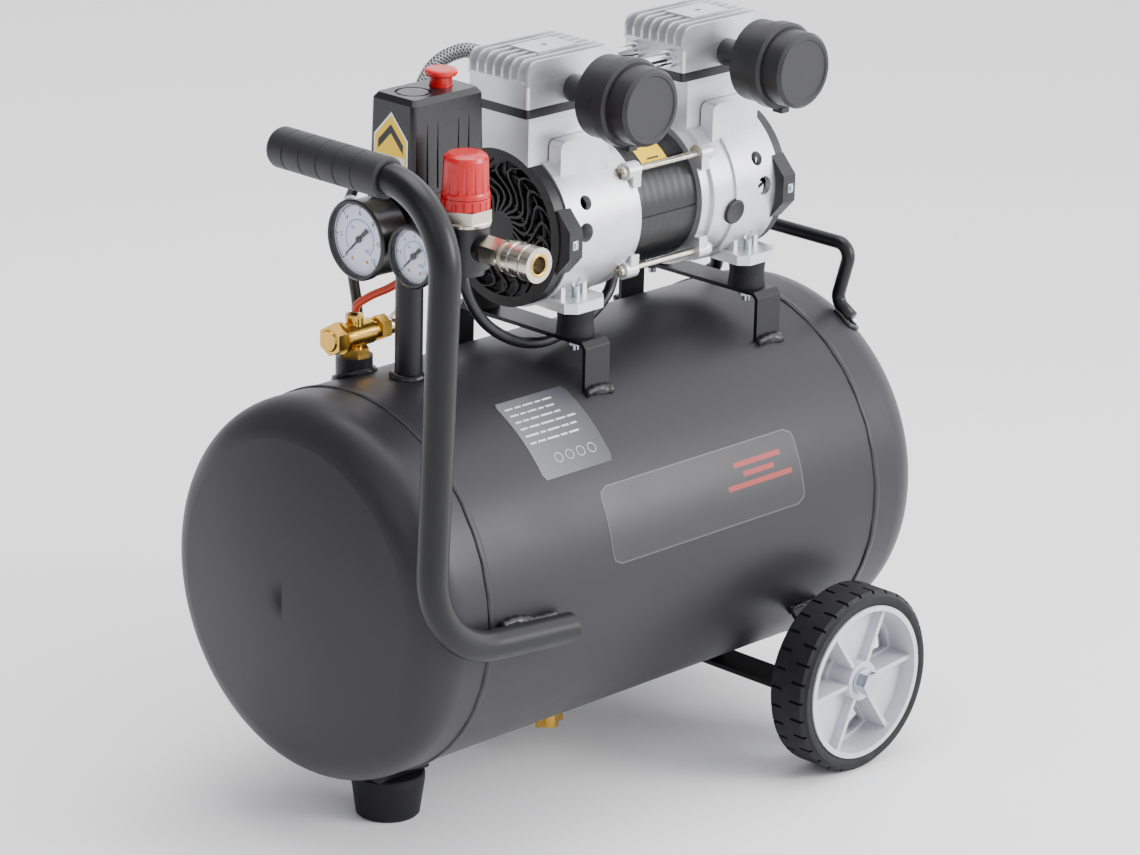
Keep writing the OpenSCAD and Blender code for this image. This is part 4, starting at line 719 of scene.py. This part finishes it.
SWEEP_START, SWEEP = 225, -270
SCREW = [(r * MM, h * MM) for r, h in ((0.1, 0.75), (0.7, 0.7), (1.1, 0.4), (1.25, 0))]
for tag, cy, r, case_r in (("tank", 0.0, 25.6, 29), ("outlet", -0.055, 19.2, 22.5)):
    angles = [SWEEP_START + SWEEP * k / 60 for k in range(61)]
    ticks(f"dial_{tag}_small_ticks", cy, r * 0.9, r * 0.96, angles, 0.16, ink_black["mat"])
    ticks(f"dial_{tag}_large_ticks", cy, r * 0.84, r * 0.96, angles[::10], 0.4, ink_black["mat"])
    ticks(f"dial_{tag}_inner_ticks", cy, r * 0.5, r * 0.55, angles[::3], 0.2, ink_blue["mat"])
    arc(f"dial_{tag}_outer_line", cy, r * 0.95, r * 0.97, SWEEP_START, SWEEP_START + SWEEP, ink_black["mat"])
    arc(f"dial_{tag}_inner_line", cy, r * 0.54, r * 0.56, SWEEP_START, SWEEP_START + SWEEP, ink_blue["mat"])
    arc(f"dial_{tag}_red_band", cy, r * 0.9, r * 0.955, SWEEP_START + SWEEP * 0.8, SWEEP_START + SWEEP,
        ink_red["mat"], 14)
    numerals(f"dial_{tag}_numerals", cy, r * 0.73, {SWEEP_START + SWEEP * k / 6: str(2 * k) for k in range(7)},
             r * 0.15, ink_black["mat"])
    numerals(f"dial_{tag}_inner_numerals", cy, r * 0.4,
             {SWEEP_START + SWEEP * k / 3: str(60 * k) for k in range(4)}, r * 0.11, ink_blue["mat"])
    for side in (-1, 1):
        head = on_dial(cy, r * 0.66, 270 + side * 26, 0.0)
        turned(f"dial_{tag}_screw_{side + 1}", SCREW, head, (-1, 0, 0), brass["mat"], sides=20)
    lens_r = case_r - 3.1
    lens = [(lens_r * MM * k / 12, (1.15 - 0.9 * (k / 12) ** 2) * MM) for k in range(1, 13)]
    turned(f"lens_{tag}", [(0.02 * MM, 1.15 * MM)] + lens, (GAUGE_X + 1.9 * MM, cy, HEAD_Z), (-1, 0, 0), glass)
    bezel = case_r * MM
    turned(f"bezel_lip_{tag}", [(bezel - 3.2 * MM, -2.2 * MM), (bezel - 3.2 * MM, -0.3 * MM),
                                        (bezel - 2.7 * MM, 0.02 * MM), (bezel - 1.9 * MM, 0.02 * MM)],
                   (GAUGE_X, cy, HEAD_Z), (-1, 0, 0), case_abs["mat"])
print("gauge dials at x", round(DIAL_X, 4), "with numerals 0 to 12 and 0 to 180")

# %% [markdown]
# ## Stickers
# A sticker is vinyl a fifth of a millimetre thick. On the tank it bends with the barrel, so each one is a
# grid of small faces wrapped round it, with rounded corners cut by moving the edge in. The printing is
# plain bars and rings that say nothing.

# %% Stickers on the barrel
def vinyl(name, colour, roughness):
    """Printed or plain vinyl: smooth, and nearly one colour."""
    return finish(name, colour, roughness, grain_mm=2.0, depth_mm=0.002, shift=0.02)


dark_vinyl = vinyl("vinyl_dark_satin", "1d1c20", 0.36)
edge_vinyl = vinyl("vinyl_edge_grey", "4a494f", 0.35)
plate_vinyl = vinyl("vinyl_brushed_grey", "3c3c41", 0.38)
pale_ink = vinyl("ink_pale_grey", "c9cace", 0.5)
dim_red_ink = vinyl("ink_red_on_vinyl", "8e2420", 0.45)
yellow_vinyl = vinyl("vinyl_yellow", "efc400", 0.4)
white_vinyl = vinyl("vinyl_white", "e9eaec", 0.4)
fade = add(plate_vinyl["mat"], "SeparateXYZ", {0: plate_vinyl["where"].outputs["Object"]})
fade_amount = add(plate_vinyl["mat"], "MapRange", {"Value": fade.outputs[0], "From Min": -0.12, "From Max": -0.05,
                                                   "To Min": 0.55, "To Max": 0.0})
recolour(plate_vinyl, fade_amount.outputs["Result"], "7a7b81")


def on_barrel(x, degrees, lift_mm):
    """A point on the near side of the barrel, at an angle above the horizontal."""
    a = math.radians(degrees)
    r = TANK_R + lift_mm * MM
    return Vector((x, -r * math.cos(a), TANK_Z + r * math.sin(a)))


def sticker(name, x0, x1, a0, a1, mat, lift_mm=0.2, corner_mm=4.0, slot="tank_paint"):
    """A patch on the near side of the barrel, from angle a0 up to a1 above the horizontal."""
    rows = 16
    tall = math.radians(a1 - a0) * TANK_R / MM
    verts, faces, columns = [], [], 14
    for i in range(rows + 1):
        t = i / rows
        from_edge = min(t, 1 - t) * tall
        cut = 0.0
        if from_edge < corner_mm:
            cut = (corner_mm - math.sqrt(max(0.0, corner_mm ** 2 - (corner_mm - from_edge) ** 2))) * MM
        for k in range(columns + 1):
            x = x0 + cut + (x1 - x0 - 2 * cut) * k / columns
            verts.append(on_barrel(x, a0 + (a1 - a0) * t, lift_mm))
    for i in range(rows):
        for k in range(columns):
            n = i * (columns + 1) + k
            faces.append((n, n + 1, n + columns + 2, n + columns + 1))
    return place(name, verts, faces, mat)


sticker("sticker_large_edge", -0.0747, 0.1283, 7.0, 30.5, edge_vinyl["mat"], 0.15, 8)
sticker("sticker_large", -0.0737, 0.1273, 7.4, 30.1, dark_vinyl["mat"], 0.2, 7.5)
for k, (x0, x1) in enumerate(((0.060, 0.110), (0.068, 0.101), (0.050, 0.118))):
    sticker(f"sticker_large_bar_{k}", x0, x1, 23.6 - 3.2 * k, 25.2 - 3.2 * k, dim_red_ink["mat"], 0.25, 0.4)
PLATE = (-0.1187, -0.0497, 37.0, 65.0)  # from and to, in metres along X and in degrees up the barrel
sticker("sticker_plate", *PLATE, plate_vinyl["mat"], 0.2, 2)
bars = random.Random(7)
for k in range(6):
    top = 62.2 - 2.6 * k
    x = PLATE[0] + 0.005
    for w in range(5):
        wide = 0.005 + 0.008 * bars.random()
        sticker(f"sticker_plate_bar_{k}_{w}", x, min(x + wide, PLATE[1] - 0.004), top - 0.62, top, pale_ink["mat"],
                0.24, 0.1)
        x += wide + 0.0018
for k in range(4):
    ring = [on_barrel(PLATE[0] + 0.022 + 0.011 * k + 3.6 * MM * math.cos(a), 42.5 + 1.47 * math.sin(a), 0.25)
            for a in (2 * math.pi * i / 32 for i in range(32))]
    tube(f"sticker_plate_ring_{k}", ring, 0.28 * MM, pale_ink["mat"], closed=True, sides=6)

# %% [markdown]
# ## Switch box, stator and fan cover trims
# The switch box wears a house-shaped sticker on its front end. The stator carries a small yellow sticker.
# Each fan cover's side tab is clamped by a bright steel clip.

# %% Stickers and clips on the pump and the switch
def flat_shape(name, outline, to_world, mat, thick_mm=0.2):
    """A flat sticker with an outline in its own plane, put in place by a function."""
    n = len(outline)
    verts = [to_world(u, v, thick_mm) for u, v in outline] + [to_world(u, v, 0) for u, v in outline]
    faces = [tuple(range(n))] + [(k, k + n, (k + 1) % n + n, (k + 1) % n) for k in range(n)]
    return place(name, verts, faces, mat, smooth=False)


cover_low, cover_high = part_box("switch_cover")
COVER_H = 69  # the end leans back one millimetre over this height


def on_switch_end(u, v, lift):
    """u runs to the reader's right in mm from the middle, v up from the cover's bottom."""
    return Vector((cover_low.x + (v / COVER_H - 0.25 - lift) * MM, -u * MM, cover_low.z + v * MM))


house = [(-17, 14), (17, 14), (17, 40), (0, 58), (-17, 40)]
inside = [(-15.6, 15.4), (15.6, 15.4), (15.6, 39.4), (0, 56), (-15.6, 39.4)]
flat_shape("switch_sticker_edge", house, on_switch_end, white_vinyl["mat"], 0.15)
flat_shape("switch_sticker", inside, on_switch_end, yellow_vinyl["mat"], 0.3)
flat_shape("switch_sticker_chevron", [(-12.5, 30), (0, 43), (12.5, 30), (12.5, 36.5), (0, 49.5), (-12.5, 36.5)],
           on_switch_end, ink_black["mat"], 0.4)
flat_shape("switch_sticker_panel", [(-14, 17), (14, 17), (14, 27), (-14, 27)], on_switch_end, white_vinyl["mat"],
           0.4)
for k in range(3):
    flat_shape(f"switch_sticker_line_{k}", [(-12, 18.6 + 3 * k), (11 - 4 * k, 18.6 + 3 * k),
                                            (11 - 4 * k, 19.8 + 3 * k), (-12, 19.8 + 3 * k)], on_switch_end,
               ink_black["mat"], 0.5)
STATOR_R = 50


def on_stator(u, v, lift):
    """u runs along X in mm from the pump's middle, v up round the near side from 38 degrees."""
    a = math.radians(38) + v / STATOR_R
    r = (STATOR_R + lift) * MM
    return Vector((PUMP_X + u * MM, -r * math.cos(a), PUMP_Z + r * math.sin(a)))


for name, half, v0, v1, mat, lift in (("stator_sticker_edge", 14, 0, 20, ink_black, 0.15),
                                      ("stator_sticker", 13.2, 0.8, 19.2, yellow_vinyl, 0.25),
                                      ("stator_sticker_bar", 9, 4, 5.4, ink_black, 0.35),
                                      ("stator_sticker_bar_2", 6, 7.5, 8.9, ink_black, 0.35)):
    verts = [on_stator(u, v0 + (v1 - v0) * i / 8, lift) for i in range(9) for u in (-half, half)]
    faces = [(2 * i, 2 * i + 1, 2 * i + 3, 2 * i + 2) for i in range(8)]
    place(name, verts, faces, mat["mat"])
for k, end in enumerate((-1, 1)):
    middle = Vector((PUMP_X + end * 113.5 * MM, -66.6 * MM, PUMP_Z))
    clip = block(f"fan_cover_clip_{k}", (5.4 * MM, 4.4 * MM, 7 * MM), Matrix.Translation(middle), zinc["mat"],
                 0.7 * MM)
    tongue = block(f"fan_cover_clip_tongue_{k}", (3 * MM, 1.6 * MM, 4 * MM),
                   Matrix.Translation(middle + Vector((0, -2.6 * MM, 0))), zinc["mat"], 0.5 * MM)
CASE_R, CASE_PLUG_X, CASE_PLUG_TURN = 59.4 * MM, 64 * MM, math.radians(-10.5)
case_plug = [(r * MM, h * MM) for r, h in ((9.6, -3), (9.6, 0.5), (8.9, 1.2), (7.6, 1.2), (7, 0.7), (0.1, 0.7))]
plug_out = Vector((0, -math.cos(CASE_PLUG_TURN), math.sin(CASE_PLUG_TURN)))
plug_at = Vector((PUMP_X + CASE_PLUG_X, 0, PUMP_Z)) + plug_out * CASE_R
turned("crankcase_plug", case_plug, plug_at, plug_out, filter_nylon["mat"])
print("switch cover from", [round(v, 3) for v in cover_low], "to", [round(v, 3) for v in cover_high])

# %% [markdown]
# ## Floor and light
# A pale seamless floor and a bright studio: a weak softbox high on the left, a strong one on the right and
# one above. The world is white but its brightness falls from the right to the left, so that the ends of
# the castings stand out from their sides.

# %% Studio
sweep_floor = bpy.data.materials.new("studio_paper")
sweep_floor.use_nodes = True
paper = sweep_floor.node_tree.nodes["Principled BSDF"]
fibre = add(sweep_floor, "TexNoise", {"Vector": add(sweep_floor, "TexCoord").outputs["Object"], "Scale": 400.0})
paper_colour = add(sweep_floor, "Mix", {"Factor": fibre.outputs["Fac"], 6: srgb("f4f4f5"), 7: srgb("f7f7f8")},
                   data_type="RGBA")
sweep_floor.node_tree.links.new(paper_colour.outputs[2], paper.inputs["Base Color"])
paper.inputs["Roughness"].default_value = 0.9
floor = bpy.data.objects.new("studio_floor", bpy.data.meshes.new("studio_floor"))
floor.data.from_pydata([(-30, -30, 0), (30, -30, 0), (30, 30, 0), (-30, 30, 0)], [], [(0, 1, 2, 3)])
floor.data.materials.append(sweep_floor)
bpy.context.scene.collection.objects.link(floor)
world = bpy.data.worlds.new("studio")
world.use_nodes = True
world.node_tree.nodes["Background"].inputs["Color"].default_value = srgb("fbfbff")
sky = world.node_tree.nodes.new("ShaderNodeTexCoord")
toward = world.node_tree.nodes.new("ShaderNodeVectorMath")
toward.operation = "DOT_PRODUCT"
toward.inputs[1].default_value = (0.84, -0.53, 0.1)  # the bright side of the studio
level = world.node_tree.nodes.new("ShaderNodeMapRange")
for socket, value in {"From Min": -0.4, "From Max": 0.7, "To Min": 0.42, "To Max": 3.0}.items():
    level.inputs[socket].default_value = value
world.node_tree.links.new(sky.outputs["Generated"], toward.inputs[0])
world.node_tree.links.new(toward.outputs["Value"], level.inputs["Value"])
world.node_tree.links.new(level.outputs["Result"], world.node_tree.nodes["Background"].inputs["Strength"])
bpy.context.scene.world = world
LAMPS = {  # name: place, aim, size, watts
    "softbox_left": ((-1.9, -0.6, 1.5), (0, 0, 0.3), 1.1, 5),
    "softbox_right": ((1.1, -2.0, 1.2), (0.05, 0, 0.3), 1.0, 44),
    "softbox_top": ((0.1, 0.2, 2.2), (0, 0, 0.3), 1.4, 30),
}
for name, (place_at, aim, size, watts) in LAMPS.items():
    lamp = bpy.data.lights.new(name, "AREA")
    lamp.size, lamp.energy = size, watts
    holder = bpy.data.objects.new(name, lamp)
    holder.location = place_at
    holder.rotation_euler = (Vector(aim) - Vector(place_at)).to_track_quat("-Z", "Y").to_euler()
    bpy.context.scene.collection.objects.link(holder)
print("lamps:", ", ".join(LAMPS))
